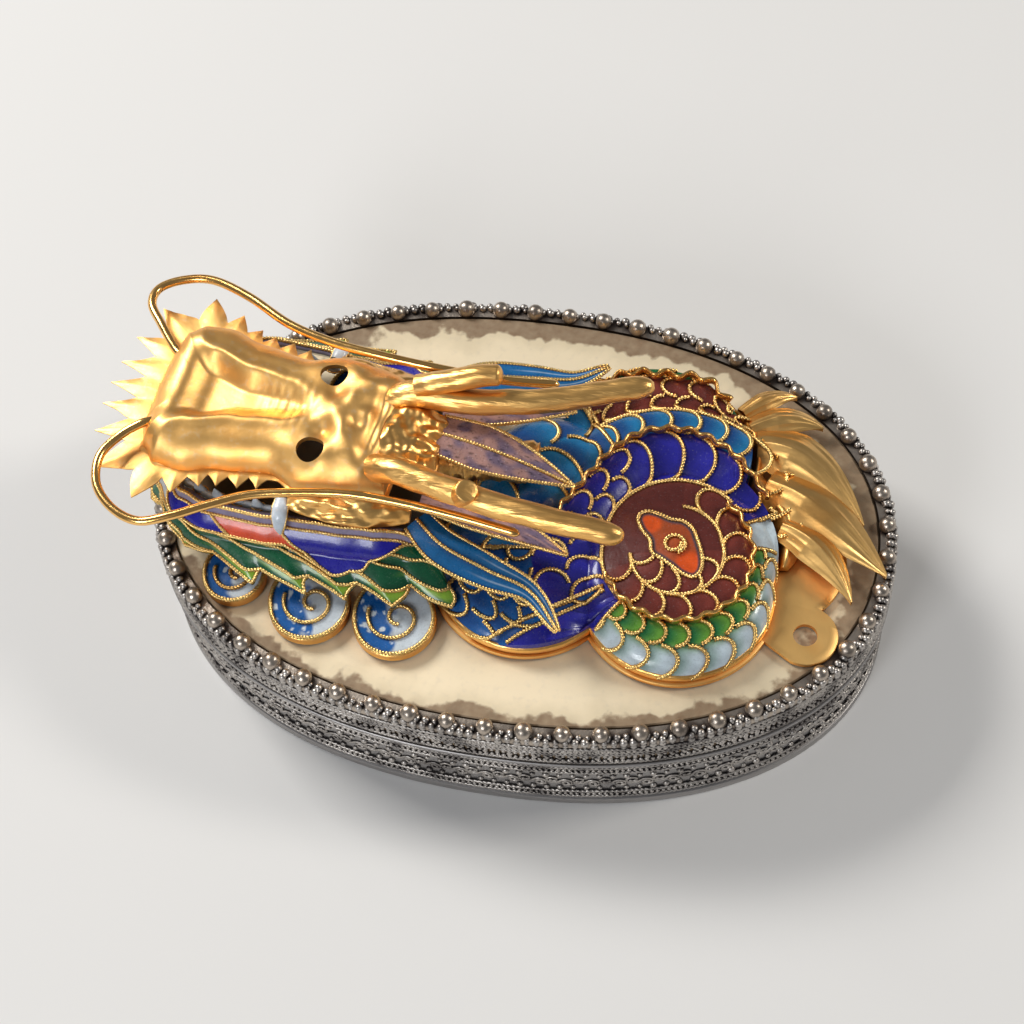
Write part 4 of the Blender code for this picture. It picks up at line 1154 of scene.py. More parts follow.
@dataclass(frozen=True)
class Scales:
    """A stretch of enamelled scales about the coil's eye, between two bounds."""

    start: float                   # degrees
    end: float
    inner: Bound
    outer: Bound
    pitch: float                   # degrees from scale to scale
    root: Colour
    tip: Colour
    rows: int = 1
    way: int = 1                   # 1 when the scales point counter-clockwise
    bulge: float = 0.55            # how far a scale's edge swells, in pitches
    rim: Colour | None = None      # the colour that the outer row fades into
    wired: bool = True

    def share(self, turn: np.ndarray, radius: np.ndarray) -> tuple[np.ndarray, np.ndarray, np.ndarray]:
        """Where points lie in the stretch.

        Args:
            turn: their angles about the eye.
            radius: their distances from it.

        Returns:
            Whether they lie in the stretch, how far out in it, and their angle from its start in degrees.
        """
        low, high = self.inner(turn), self.outer(turn)
        degrees = np.mod(np.degrees(turn) - self.start, 360)
        inside = (degrees <= self.end - self.start) & (radius >= low) & (radius <= high)
        return inside, np.clip((radius - low) / np.maximum(high - low, 0.05), 0, 1), degrees

    def swell(self, out: np.ndarray) -> np.ndarray:
        """How far a scale's edge stands ahead of its ends, in pitches."""
        return self.way * self.bulge * round_over(2 * np.clip(out, 0, 1) - 1)

    def paint(self, turn: np.ndarray, radius: np.ndarray, tints: np.ndarray, pillow: np.ndarray) -> None:
        """Tints the points in the stretch and gives each scale its slight swell."""
        inside, out, degrees = self.share(turn, radius)
        row = np.minimum((out * self.rows).astype(int), self.rows - 1)
        within = out * self.rows - row
        steps = degrees / self.pitch + 0.5 * (row % 2) - self.swell(within)
        ahead = np.mod(steps * self.way, 1.0)
        made = blend(self.root, self.tip, ease(ahead, 0.1, 0.95))
        if self.rim is not None:
            fade = ease(out, 0.42, 0.72) * (0.4 + 0.6 * ease(ahead, 0.0, 0.6))
            made = made * (1 - fade[:, None]) + np.array(self.rim) * fade[:, None]
        tints[inside] = made[inside]
        pillow[inside] = (0.07 * np.sqrt(np.abs(np.sin(np.pi * ahead) * np.sin(np.pi * within))))[inside]

    def wires(self) -> list[np.ndarray]:
        """The scales' edges, in the plan."""
        lines = []
        out = 0.5 - 0.5 * np.cos(np.linspace(0.0, math.pi, 31))
        for row in range(self.rows if self.wired else 0):
            count = int((self.end - self.start) / self.pitch + 0.5)
            for i in range(count + 1):
                degrees = self.start + (i - 0.5 * (row % 2) + self.swell(out)) * self.pitch
                keep = (degrees >= self.start - 0.5) & (degrees <= self.end + 0.5)
                if keep.sum() < 5:
                    continue
                turn = np.radians(degrees[keep])
                low, high = self.inner(turn), self.outer(turn)
                radius = low + (high - low) * (row + out[keep]) / self.rows
                lines.append(from_eye(turn, radius))
        return lines


def about_eye(points: np.ndarray) -> tuple[np.ndarray, np.ndarray]:
    """The angle and distance of points of the plan about the coil's eye."""
    gap = points[:, :2] - RELIEF.eye
    return np.arctan2(gap[:, 1], gap[:, 0]), np.hypot(gap[:, 0], gap[:, 1])


def from_eye(turn: np.ndarray, radius: np.ndarray) -> np.ndarray:
    """Points of the plan from their angle and distance about the coil's eye."""
    return circle(RELIEF.eye, radius, turn, 0)[:, :2]


@dataclass
class DragonBody:
    """The coiled body: enamelled scales between twisted wires, gilt ruffles on its crests, a gilt rim."""

    around: int = 420
    out: int = 130
    steep: int = 24                # of the rings, at the steep edge
    floor: float = 1.3
    brown: Colour = colour("5f2a24")
    maroon: Colour = colour("74332a")
    orange: Colour = colour("d9541e")
    cobalt: Colour = colour("2b2aa0")
    violet: Colour = colour("1b1a78")
    blue: Colour = colour("1c62a8")
    turquoise: Colour = colour("1f79ad")
    deep_blue: Colour = colour("15427e")
    leaf: Colour = colour("6fa83c")
    green: Colour = colour("1f6b3c")
    dark_green: Colour = colour("0f4a2c")
    white: Colour = colour("c3d2da")
    lilac: Colour = colour("b9a3b5")
    slate: Colour = colour("4b4650")
    rust: Colour = colour("a04a26")
    comma: tuple = ((16.1, -2.2), (16.3, -1.2), (17.3, -0.7), (18.8, -1.0), (20.4, -1.6), (22.0, -1.7),
                    (23.3, -2.6), (24.2, -4.4), (25.0, -6.4), (25.2, -8.4), (24.4, -9.6), (22.9, -9.4),
                    (21.5, -8.6), (19.9, -7.7), (18.6, -6.9), (18.1, -5.1), (16.9, -3.7), (16.1, -2.2))
    lobes: tuple = ((17.8, -2.6, 1.7), (23.6, -7.8, 2.0))
    ring: tuple[float, float] = (21.3, -5.4)
    wire_lift: float = 0.06
    belly: tuple[int, int] = (-128, 14)        # degrees about the eye, as for the next four
    pale_end: int = 36
    back_end: int = 126
    loop_end: int = 186
    shoulder_end: int = 217
    coil_disc: tuple[float, float, float] = (21.5, -4.3, 9.3)
    back_disc: tuple[float, float, float] = (20.0, -1.9, 17.6)

    def coil(self, turn: np.ndarray) -> np.ndarray:
        """The brown disc's edge."""
        return np.maximum(RELIEF.crest_radius, RELIEF.reach(turn, [self.coil_disc]))

    def half_coil(self, turn: np.ndarray) -> np.ndarray:
        """The line between the disc's two rows of scales."""
        return 0.62 * self.coil(turn)

    def middle(self, turn: np.ndarray) -> np.ndarray:
        """The edge of the orange eye."""
        return np.full(len(turn), 2.6)

    def loop(self, turn: np.ndarray) -> np.ndarray:
        """The ruffle of the outer loop."""
        return np.maximum(RELIEF.to_line(turn, RELIEF.loop_line, 10.6), self.coil(turn) + 0.1)

    def back(self, turn: np.ndarray) -> np.ndarray:
        """The edge between the loop's outer scales and the maroon ones."""
        return np.maximum(RELIEF.reach(turn, [self.back_disc]), self.loop(turn) + 0.1)

    def ribbon(self, turn: np.ndarray) -> np.ndarray:
        """The ruffle of the far back."""
        return np.maximum(RELIEF.to_line(turn, RELIEF.ridge_line, 24.0), self.back(turn) + 0.1)

    def edge(self, turn: np.ndarray) -> np.ndarray:
        """The body's outline."""
        return RELIEF.reach(turn, RELIEF.discs)

    def stretches(self) -> list[Scales]:
        """The enamelled stretches, later ones over earlier ones."""
        belly, belly_end = self.belly
        pale_end, back_end = self.pale_end, self.back_end
        loop_end, shoulder_end = self.loop_end, self.shoulder_end
        return [
            Scales(-180, 180, self.middle, self.edge, 24, self.deep_blue, self.blue, 2),
            Scales(35, 125, self.ribbon, self.edge, 9, self.green, self.dark_green, 1),
            Scales(62, back_end, self.back, self.ribbon, 8, self.maroon, self.brown, 2, 1),
            Scales(18, back_end, self.loop, self.back, 11, self.deep_blue, self.turquoise, 1, -1),
            Scales(back_end, loop_end, self.loop, self.edge, 12, self.deep_blue, self.turquoise, 2, -1),
            Scales(loop_end, shoulder_end, self.loop, self.edge, 9, self.deep_blue, self.blue, 4, 1),
            Scales(belly_end, pale_end, self.coil, self.edge, 22, self.white, self.white, 1, -1, wired=False),
            Scales(pale_end, 122, self.coil, self.loop, 17, self.violet, self.cobalt, 1, -1),
            Scales(122, shoulder_end, self.coil, self.loop, 15, self.violet, self.cobalt, 2, -1),
            Scales(shoulder_end, belly + 360, self.coil, self.edge, 13, self.violet, self.cobalt, 3, -1,
                   wired=False),
            Scales(belly, belly_end, self.coil, self.edge, 15, self.green, self.leaf, 2, 1, 0.6, self.white),
            Scales(-180, 180, self.middle, self.coil, 360, self.brown, self.brown, 1),
            Scales(-158, 92, self.half_coil, self.coil, 25, self.brown, self.maroon, 1),
            Scales(-170, 12, self.middle, self.half_coil, 36, self.maroon, self.brown, 1),
        ]

    def comma_tints(self, points: np.ndarray) -> np.ndarray:
        """The comma's colours: orange in its two lobes, rust between them and slate beside its wire."""
        line = curve(self.comma, 120)
        near = np.sqrt(((points[:, None, :2] - line) ** 2).sum(2)).min(1)
        lobes = np.zeros(len(points))
        for x, y, size in self.lobes:
            lobes += np.exp(-((points[:, 0] - x) ** 2 + (points[:, 1] - y) ** 2) / size ** 2)
        made = blend(self.rust, self.orange, ease(lobes, 0.3, 0.7))
        inner = ease(near, 0.4, 0.75)[:, None]
        return np.array(self.slate) * (1 - inner) + made * inner

    def visible(self, line: np.ndarray, covers: Sequence[Scales]) -> list[np.ndarray]:
        """The runs of a line in the plan that no later stretch and not the comma covers."""
        turn, radius = about_eye(line)
        shown = ~self.in_eye(line)
        for stretch in covers:
            low, high = stretch.inner(turn) + 0.12, stretch.outer(turn) - 0.12
            degrees = np.mod(np.degrees(turn) - stretch.start, 360)
            across = (degrees > 0.6) & (degrees < stretch.end - stretch.start - 0.6)
            shown &= ~(across & (radius > low) & (radius < high))
        cuts = np.flatnonzero(np.diff(shown.astype(int))) + 1
        runs = zip(np.split(line, cuts), np.split(shown, cuts))
        return [run for run, seen in runs if seen[0] and len(run) > 4]

    def in_eye(self, points: np.ndarray) -> np.ndarray:
        """Which points of the plan lie in the orange comma."""
        line = curve(self.comma, 60)
        x, y = points[:, :1], points[:, 1:2]
        ax, ay = line[:, 0], line[:, 1]
        bx, by = np.roll(ax, -1), np.roll(ay, -1)
        rise = np.where(by == ay, 1e-9, by - ay)
        crossing = ((ay > y) != (by > y)) & (x < (bx - ax) * (y - ay) / rise + ax)
        return crossing.sum(1) % 2 == 1

    def build(self) -> None:
        """Builds the enamel, its wires, the ruffles and the rim."""
        turn = turns(self.around)
        steps = np.concatenate((np.linspace(0.03, 0.9, self.out - self.steep, endpoint=False),
                                0.9 + 0.1 * np.sin(np.linspace(0, math.pi / 2, self.steep))))
        radius = (self.edge(turn)[None] * steps[:, None]).ravel()
        angles = np.tile(turn, self.out)
        flat = from_eye(angles, radius)
        tints = np.zeros((len(flat), 3)) + self.brown
        pillow = np.zeros(len(flat))
        for stretch in self.stretches():
            stretch.paint(angles, radius, tints, pillow)
        eye = self.in_eye(flat)
        tints[eye] = self.comma_tints(flat[eye])
        top = RELIEF.stand(flat, -0.1) + np.column_stack((np.zeros((len(flat), 2)), pillow))
        rings = top.reshape(self.out, self.around, 3)[::-1]
        foot = rings[0] * (1, 1, 0) + (0, 0, LID_TOP + self.floor)
        form = loft(np.concatenate((foot[None], rings)))
        shades = tints.reshape(self.out, self.around, 3)[::-1]
        form.tints = np.vstack((shades[0], shades.reshape(-1, 3), [self.blue, self.orange]))
        piece("coiled_body", form, ENAMEL, ["dragon_body"])
        self.wires()
        self.ruffles()

    def wires(self) -> None:
        """The twisted wires between the scales and along the stretches' edges."""
        stretches = self.stretches()
        lines = [run for i, stretch in enumerate(stretches) for line in stretch.wires() if i
                 for run in self.visible(line, stretches[i + 1:])]
        belly, belly_end = self.belly
        spans = ((self.coil, 56, belly + 360), (self.half_coil, -170, 92), (self.back, 62, self.back_end))
        for bound, start, end in spans:
            turn = np.radians(np.linspace(start, end, 80))
            lines += self.visible(from_eye(turn, bound(turn)), ())
        joints = ((belly_end, self.coil), (self.pale_end, self.coil), (self.shoulder_end, self.loop),
                  (belly + 360, self.coil), (self.back_end, self.loop), (self.loop_end, self.loop))
        for degrees, start in joints:
            turn = np.full(12, math.radians(degrees))
            low, high = start(turn)[0], self.edge(turn)[0]
            lines.append(from_eye(turn, np.linspace(low, high - 0.4, 12)))
        lines.append(curve(self.comma, 80))
        swirl = np.linspace(0, 1.25 * TAU, 50)
        size = 0.9 + 0.6 * swirl / swirl[-1]
        lines.append(circle(self.ring, size, 0.4 - swirl, 0.0))
        twisted("body_wires", [RELIEF.stand(line, self.wire_lift) for line in lines], 0.7, 0.55)

    def ruffles(self) -> None:
        """The crimped gilt strips along the crests, and the thick rim round the body."""
        ring = np.radians(np.linspace(-152, 56, 120))
        coil = from_eye(ring, np.full(120, RELIEF.crest_radius))
        crests = {"crest_coil": coil, "crest_loop": RELIEF.loop_line[6:124], "crest_back": RELIEF.ridge_line}
        for node, line in crests.items():
            crimp, pitch = (0.45, 3.2) if node == "crest_back" else (0.24, 2.7)
            WIRE.along(f"{node}_ruffle", [RELIEF.stand(line, 0.8)], GILT_RUFFLE, False, [node],
                       Width=0.56 * MM, Height=1.5 * MM, Twist=0.0, Crimp=crimp * MM,
                       Crimps=TAU / (pitch * MM), Step=0.16 * MM, Sides=10)
        turn = np.linspace(0, TAU, 361)[:-1]
        rim = circle(RELIEF.eye, self.edge(turn) - 0.25, turn, LID_TOP + self.floor + 0.55)
        WIRE.along("body_rim", [rim], GILT_LEAF, True, Width=0.85 * MM, Height=1.5 * MM, Twist=0.0, Crimp=0.0,
                   Crimps=0.0, Step=0.4 * MM, Sides=10)


@dataclass
class Waves:
    """Six curling waves along the dragon's sides: enamel in a gilt dish, with a twisted curl."""

    places: tuple = ((-35.2, -16.2, 4.2), (-24.4, -18.9, 5.4), (-13.0, -19.3, 5.5), (-35.6, 12.6, 4.6),
                     (-24.6, 13.4, 4.8), (-13.8, 14.4, 4.8))
    rim: float = 2.0
    lean: float = 0.16
    lean_way: float = math.radians(115)
    around: int = 96
    blue: Colour = colour("1b5ea6")
    pale: Colour = colour("cfdbe4")

    def build(self) -> None:
        """Builds each wave and then all their curls."""
        curls, rims = [], []
        for i, (x, y, radius) in enumerate(self.places, 1):
            side = 1 if y < 0 else -1
            self.wave(i, x, y, radius, side)
            curls.append(self.curl(x, y, radius, side))
            rims.append(self.hoop(x, y, radius * 0.93, self.rim - 0.1))
        twisted("wave_curls", curls, 0.66, 0.6)
        twisted("wave_rims", rims, 0.72, 0.6, closed=True)

    def hoop(self, x: float, y: float, radius: float, z: float) -> np.ndarray:
        """A ring of a wave at a height above the lid."""
        turn = turns(self.around)
        span = radius * (1 + self.lean * np.maximum(0, np.cos(turn - self.lean_way)) ** 2)
        return circle((x, y), span, turn, LID_TOP + z)

    def wave(self, number: int, x: float, y: float, radius: float, side: int) -> None:
        """One wave: a gilt wall and an enamelled dish that swells to its middle."""
        high, low = self.rim - 0.1, self.rim - 0.6
        profile = ((0.97, 0.3), (0.99, 0.5), (0.97, 1.0), (0.99, 1.5), (0.99, 1.75), (0.96, high),
                   (0.92, high), (0.89, low), (0.2, low))
        wall = loft(np.stack([self.hoop(x, y, radius * share, z) for share, z in profile]))
        piece(f"wave_{number}_dish", wall, GILT_LEAF, [f"wave_scroll_{number}"])
        shares = np.linspace(0.90, 0.03, 30)
        heights = self.rim - 0.22 - 0.12 * np.sin(np.pi * shares / 0.9) + 0.12 * (1 - shares) ** 2
        rings = np.stack([self.hoop(x, y, radius * s, z) for s, z in zip(shares, heights)])
        skirt = rings[:1] - (0, 0, 0.3)
        form = loft(np.concatenate((skirt, rings)))
        at = (form.points[:, :2] - (x, y)) / radius
        splash = at[:, 0] * 1.0 + 0.35 * side * at[:, 1] + 0.22 * ripple(form.points[:, :2], 2.6, number)
        form.tints = blend(self.blue, self.pale, ease(splash, -0.22, 0.02))
        foam = ease(ripple(form.points[:, :2], 1.6, number + 9), 0.5, 0.62) * (splash < -0.2)
        form.tints = form.tints * (1 - foam[:, None]) + np.array(self.pale) * foam[:, None]
        piece(f"wave_{number}_enamel", form, ENAMEL_WHITE)

    def curl(self, x: float, y: float, radius: float, side: int) -> np.ndarray:
        """The wire that curls in from the wave's crest."""
        turn = np.linspace(0, 1.3 * TAU, 60)
        share = turn / turn[-1]
        span = radius * (0.66 - 0.52 * share ** 0.9)
        angle = math.radians(165 if side > 0 else -165) + side * turn
        z = LID_TOP + self.rim - 0.1 + 0.1 * share
        lead = 0.14 * radius * share
        return circle((x + lead, y), span, angle, z)


@dataclass
class Plate:
    """The gilt plate under the body and the tail, with its round pierced lug."""

    low: float = 0.3
    high: float = 1.0
    margin: float = 0.5
    lug: tuple[float, float, float] = (39.3, -13.0, 3.7)
    tail_root: tuple[float, float, float] = (33.5, -2.5, 9.5)
    hole: float = 3.1
    around: int = 720

    def build(self) -> None:
        """Builds the plate and drills its lug."""
        turn = turns(self.around)
        span = RELIEF.reach(turn, (*RELIEF.discs, self.lug, self.tail_root), self.margin)
        edge = ((0.1, self.low), (0.0, self.low + 0.1), (0.0, self.high - 0.12), (0.12, self.high))
        rings = [circle(RELIEF.eye, span - inset, turn, LID_TOP + z) for inset, z in edge]
        for share in (0.94, 0.86, 0.76, 0.6, 0.3):
            at = from_eye(turn, span * share)
            z = LID_TOP + self.high + 0.05 * ripple(at, 3.0, 61) * (share < 0.9)
            rings.append(np.column_stack((at, z)))
        made = piece("plate_gilt", loft(np.stack(rings)), GILT_PLATE, ["back_plate"], sharp=50)
        levels = (LID_TOP + self.low - 1, LID_TOP + self.high + 1)
        pierce(made, loft(np.stack([circle(self.lug, self.hole / 2, turns(48), z) for z in levels])))


@dataclass
class HeadPlan:
    """The head's own plan, set on the lid: forwards as a share of its length, across, and height."""

    pivot: tuple[float, float] = (-14.5, -0.2)
    yaw: float = math.radians(5.4)
    length: float = 34.0
    jaw: tuple = ((-0.21, 9.4), (-0.09, 10.6), (0.04, 11.8), (0.19, 12.4), (0.35, 12.8), (0.47, 13.3),
                  (0.68, 13.3), (0.79, 12.2), (0.88, 8.8), (0.91, 4.4), (0.925, 0.0))
    lip: float = 10.7

    def place(self, points: np.ndarray) -> np.ndarray:
        """Points of the head's plan, as (share, across, height above the lid), in the part's own frame."""
        points = np.asarray(points, float)
        ahead = points[..., 0] * self.length
        c, s = math.cos(self.yaw), math.sin(self.yaw)
        return np.stack((self.pivot[0] - ahead * c + points[..., 1] * s,
                         self.pivot[1] + ahead * s + points[..., 1] * c, LID_TOP + points[..., 2]), -1)

    def outline(self, widths: Sequence[tuple[float, float]], steps: int = 240) -> np.ndarray:
        """The outline from the near side's back, round the front, to the far side's back, in millimetres."""
        start, front = widths[0][0], widths[-1][0]
        share = start + (front - start) * np.sin(np.linspace(0, math.pi / 2, steps + 1))
        near = np.column_stack((share * self.length, -table(widths, share)))
        return np.vstack((near, near[-2::-1] * (1, -1)))


PLAN = HeadPlan()


@dataclass
class Head:
    """The head's hollow gilt shell: muzzle between two ridges, lumpy brow, toothed lip and pierced eyes."""

    widths: tuple = ((0.0, 8.4), (0.18, 9.7), (0.32, 10.2), (0.46, 8.7), (0.65, 9.6), (0.80, 11.0),
                     (0.90, 10.7), (0.96, 9.0), (0.99, 5.6), (1.0, 0.0))
    top: tuple = ((0.0, 16.4), (0.10, 17.8), (0.24, 18.5), (0.36, 18.0), (0.47, 18.1), (0.65, 18.0),
                  (0.85, 18.1), (1.0, 17.5))
    crest_at: tuple = ((0.35, 1.6), (0.47, 2.7), (0.62, 3.3), (0.80, 4.9), (0.90, 6.2), (1.0, 6.6))
    channel: tuple = ((0.32, 0.0), (0.44, 1.3), (0.60, 2.1), (0.79, 2.7), (0.90, 0.15), (0.95, 0.0))
    edge: float = 13.8
    wall: float = 0.8
    lip_thickness: float = 0.5
    medial: tuple[float, float] = (0.15, 0.79)
    eyes: tuple = ((0.302, -6.0), (0.318, 5.5))
    eye: float = 1.85
    toothed_from: float = 0.43
    front_from: float = 0.77
    front_blend: float = 0.17
    tooth_side: float = 2.4
    tooth_front: float = 7.2
    root_side: float = 0.8
    root_front: float = 2.6
    plain: float = 0.35
    pitch_side: float = 2.7
    pitch_front: float = 3.1
    slope: float = 0.1
    steps: int = 8                 # stations from a tooth's tip to its root
    back_stations: int = 40
    paired_lumps: tuple = ((0.93, 7.4, 2.4, 0.9), (0.245, 7.2, 1.7, 0.5), (0.15, 5.0, 2.1, 1.0),
                           (0.205, 2.3, 1.6, 0.55), (0.285, 3.1, 1.5, -0.7), (0.10, 7.6, 1.6, 0.6),
                           (0.385, 6.4, 2.2, 0.35))
    single_lumps: tuple = ((0.25, 0.2, 2.0, 0.35), (0.91, 0.0, 3.2, -0.35), (0.12, 0.4, 1.4, 0.45),
                           (0.17, -1.2, 0.9, -0.35))

    def height(self, share: np.ndarray, across: np.ndarray, out: float) -> np.ndarray:
        """The height of the shell's skin, with its ridges, lumps and wrinkles.

        Args:
            share: how far forwards, as a share of the head's length.
            across: how far across.
            out: how far out towards the edge, from 0 to 1.

        Returns:
            The heights above the lid.
        """
        dome = round_over(np.full(len(share), min(1.0, out)) ** 1.6)
        crest = table(self.crest_at, share)
        smoothing = (-0.03, -0.015, 0.0, 0.015, 0.03)
        sunk = sum(table(self.channel, share + step) for step in smoothing) / len(smoothing)
        off = np.abs(across) - crest
        z = self.edge + (table(self.top, share) - self.edge) * dome
        ridge = 0.12 * sunk * np.exp(-((off - 0.8) / 0.8) ** 2)
        z += dome * (ridge - sunk * (1 - ease(off, -2.3, 0.6)))
        ahead = share * PLAN.length
        for u, v, size, rise in self.lumps():
            apart = ((ahead - u * PLAN.length) / size) ** 2 + ((across - v) / size) ** 2
            z += rise * dome * np.exp(-apart)
        flat = np.stack((ahead, across), -1)
        brow = 1 - ease(share, 0.26, 0.36)
        z += dome * brow * (0.20 * ripple(flat, 5.2, 3) + 0.03 * ripple(flat, 2.4, 4))
        z += dome * 0.02 * ripple(flat, 3.4, 5)
        folds = ease(share, 0.30, 0.40) * (1 - ease(share, 0.5, 0.62)) * np.exp(-(across / 2.4) ** 2)
        z += 0.035 * folds * np.sin(ahead * TAU / 1.2)
        z -= 0.7 * dome * np.exp(-((ahead - 3.4) / 0.7) ** 2 - (across / 5.0) ** 4)
        return z

    def lumps(self) -> list[tuple[float, float, float, float]]:
        """The shell's rounded lumps: share, across, size and rise."""
        paired = [(u, side.value * v, size, rise) for u, v, size, rise in self.paired_lumps for side in Side]
        return [*self.single_lumps, *paired]

    def stations(self) -> tuple[np.ndarray, np.ndarray, np.ndarray, np.ndarray]:
        """Places round the shell's outline, from the middle of its back.

        Returns:
            The places in millimetres, the ways outwards, how far the lip reaches and how toothed it is.
        """
        line = PLAN.outline(self.widths)
        reach = reach_along(line)
        middle = reach[-1] / 2
        marks, distance, tip = [], 0.0, True
        while distance < middle - self.pitch_front / 4:
            ahead = float(np.interp(middle - distance, reach, line[:, 0]))
            share = min(1.0, max(0.0, (ahead / PLAN.length - self.front_from) / self.front_blend))
            toothed = ahead > self.toothed_from * PLAN.length
            out = self.tooth_side + (self.tooth_front - self.tooth_side) * share
            root = self.root_side + (self.root_front - self.root_side) * share
            reached = (out if tip else root) if toothed else self.plain
            marks.append((distance, reached, float(tip and toothed)))
            distance += (self.pitch_side + (self.pitch_front - self.pitch_side) * share) / 2
            tip = not tip
        marks.append((middle, self.plain, 0.0))
        marks = np.array(marks)
        share = np.linspace(0, len(marks) - 1, (len(marks) - 1) * self.steps + 1)
        side = at_share(share, np.arange(len(marks)), marks)
        side[:, 1] -= 0.45 * side[:, 2] * (1 - side[:, 2]) * side[:, 1] * 0.5
        away = np.concatenate((-side[::-1, 0], side[1:, 0])) + middle
        extra = np.concatenate((side[::-1, 1:], side[1:, 1:]))
        at = at_share(away, reach, line)
        ahead, behind = (at_share(np.clip(away + step, 0, reach[-1]), reach, line) for step in (1.6, -1.6))
        way = unit(ahead - behind)
        out = np.column_stack((way[:, 1], -way[:, 0]))
        count = self.back_stations
        far = np.linspace(at[-1], at[0], count + 2)[1:-1]
        half = count // 2
        behind = np.tile((-1.0, 0.0), (count, 1))
        plain = np.tile((self.plain, 0.0), (count, 1))
        places = np.vstack((far[half:], at, far[:half]))
        ways = np.vstack((behind[half:], out, behind[:half]))
        extra = np.vstack((plain[half:], extra, plain[:half]))
        return places, ways, extra[:, 0], extra[:, 1]

    def ring(self, places: np.ndarray, share: float, drop: float) -> np.ndarray:
        """A ring of the shell, drawn in from the outline towards the medial stretch."""
        medial = np.clip(places[:, 0], self.medial[0] * PLAN.length, self.medial[1] * PLAN.length)
        medial = np.column_stack((medial, np.zeros(len(places))))
        at = medial + (places - medial) * share
        shares = at[:, 0] / PLAN.length
        return PLAN.place(np.column_stack((shares, at[:, 1], self.height(shares, at[:, 1], share) - drop)))

    def lip(self, stations: tuple, share: float, drop: float) -> np.ndarray:
        """A ring of the toothed lip, a share of the way out, with a rib down each tooth."""
        places, ways, reaches, toothed = stations
        at = places + ways * (reaches * share)[:, None]
        rib = 0.22 * toothed * math.sin(math.pi * min(0.9, share)) * np.minimum(1, reaches / 4)
        z = self.edge - self.slope * reaches * share + rib - drop * (1 - 0.6 * share)
        z += 0.07 * ripple(at, 1.8, 8) * share
        return PLAN.place(np.column_stack((at[:, 0] / PLAN.length, at[:, 1], z)))

    def build(self) -> None:
        """Builds the shell and pierces its eyes."""
        stations = self.stations()
        places = stations[0]
        shares = np.concatenate((np.linspace(0.03, 0.9, 46), (0.93, 0.96, 0.985, 1.0)))
        rings = [self.ring(places, share, 0) for share in shares]
        rings += [self.lip(stations, share, 0) for share in (0.25, 0.5, 0.75, 0.97)]
        rings += [self.lip(stations, share, self.lip_thickness) for share in (0.97, 0.6, 0.25)]
        rings += [self.ring(places, 0.95, self.wall + self.lip_thickness)]
        rings += [self.ring(places, share, self.wall) for share in np.linspace(0.85, 0.03, 14)]
        form = loft(np.stack(rings), "bridge", "bridge")
        shell = piece("head_shell_gilt", form, GILT_HEAD, ["head_shell"], sharp=60)
        turn = turns(40)
        pits = []
        for u, v in self.eyes:
            along, across = u + self.eye * np.cos(turn) / PLAN.length, v + 0.92 * self.eye * np.sin(turn)
            levels = (self.edge - 3, self.edge + 9)
            rows = [np.column_stack((along, across, np.full(len(turn), z))) for z in levels]
            pits.append(loft(PLAN.place(np.stack(rows))))
        pierce(shell, together(pits))


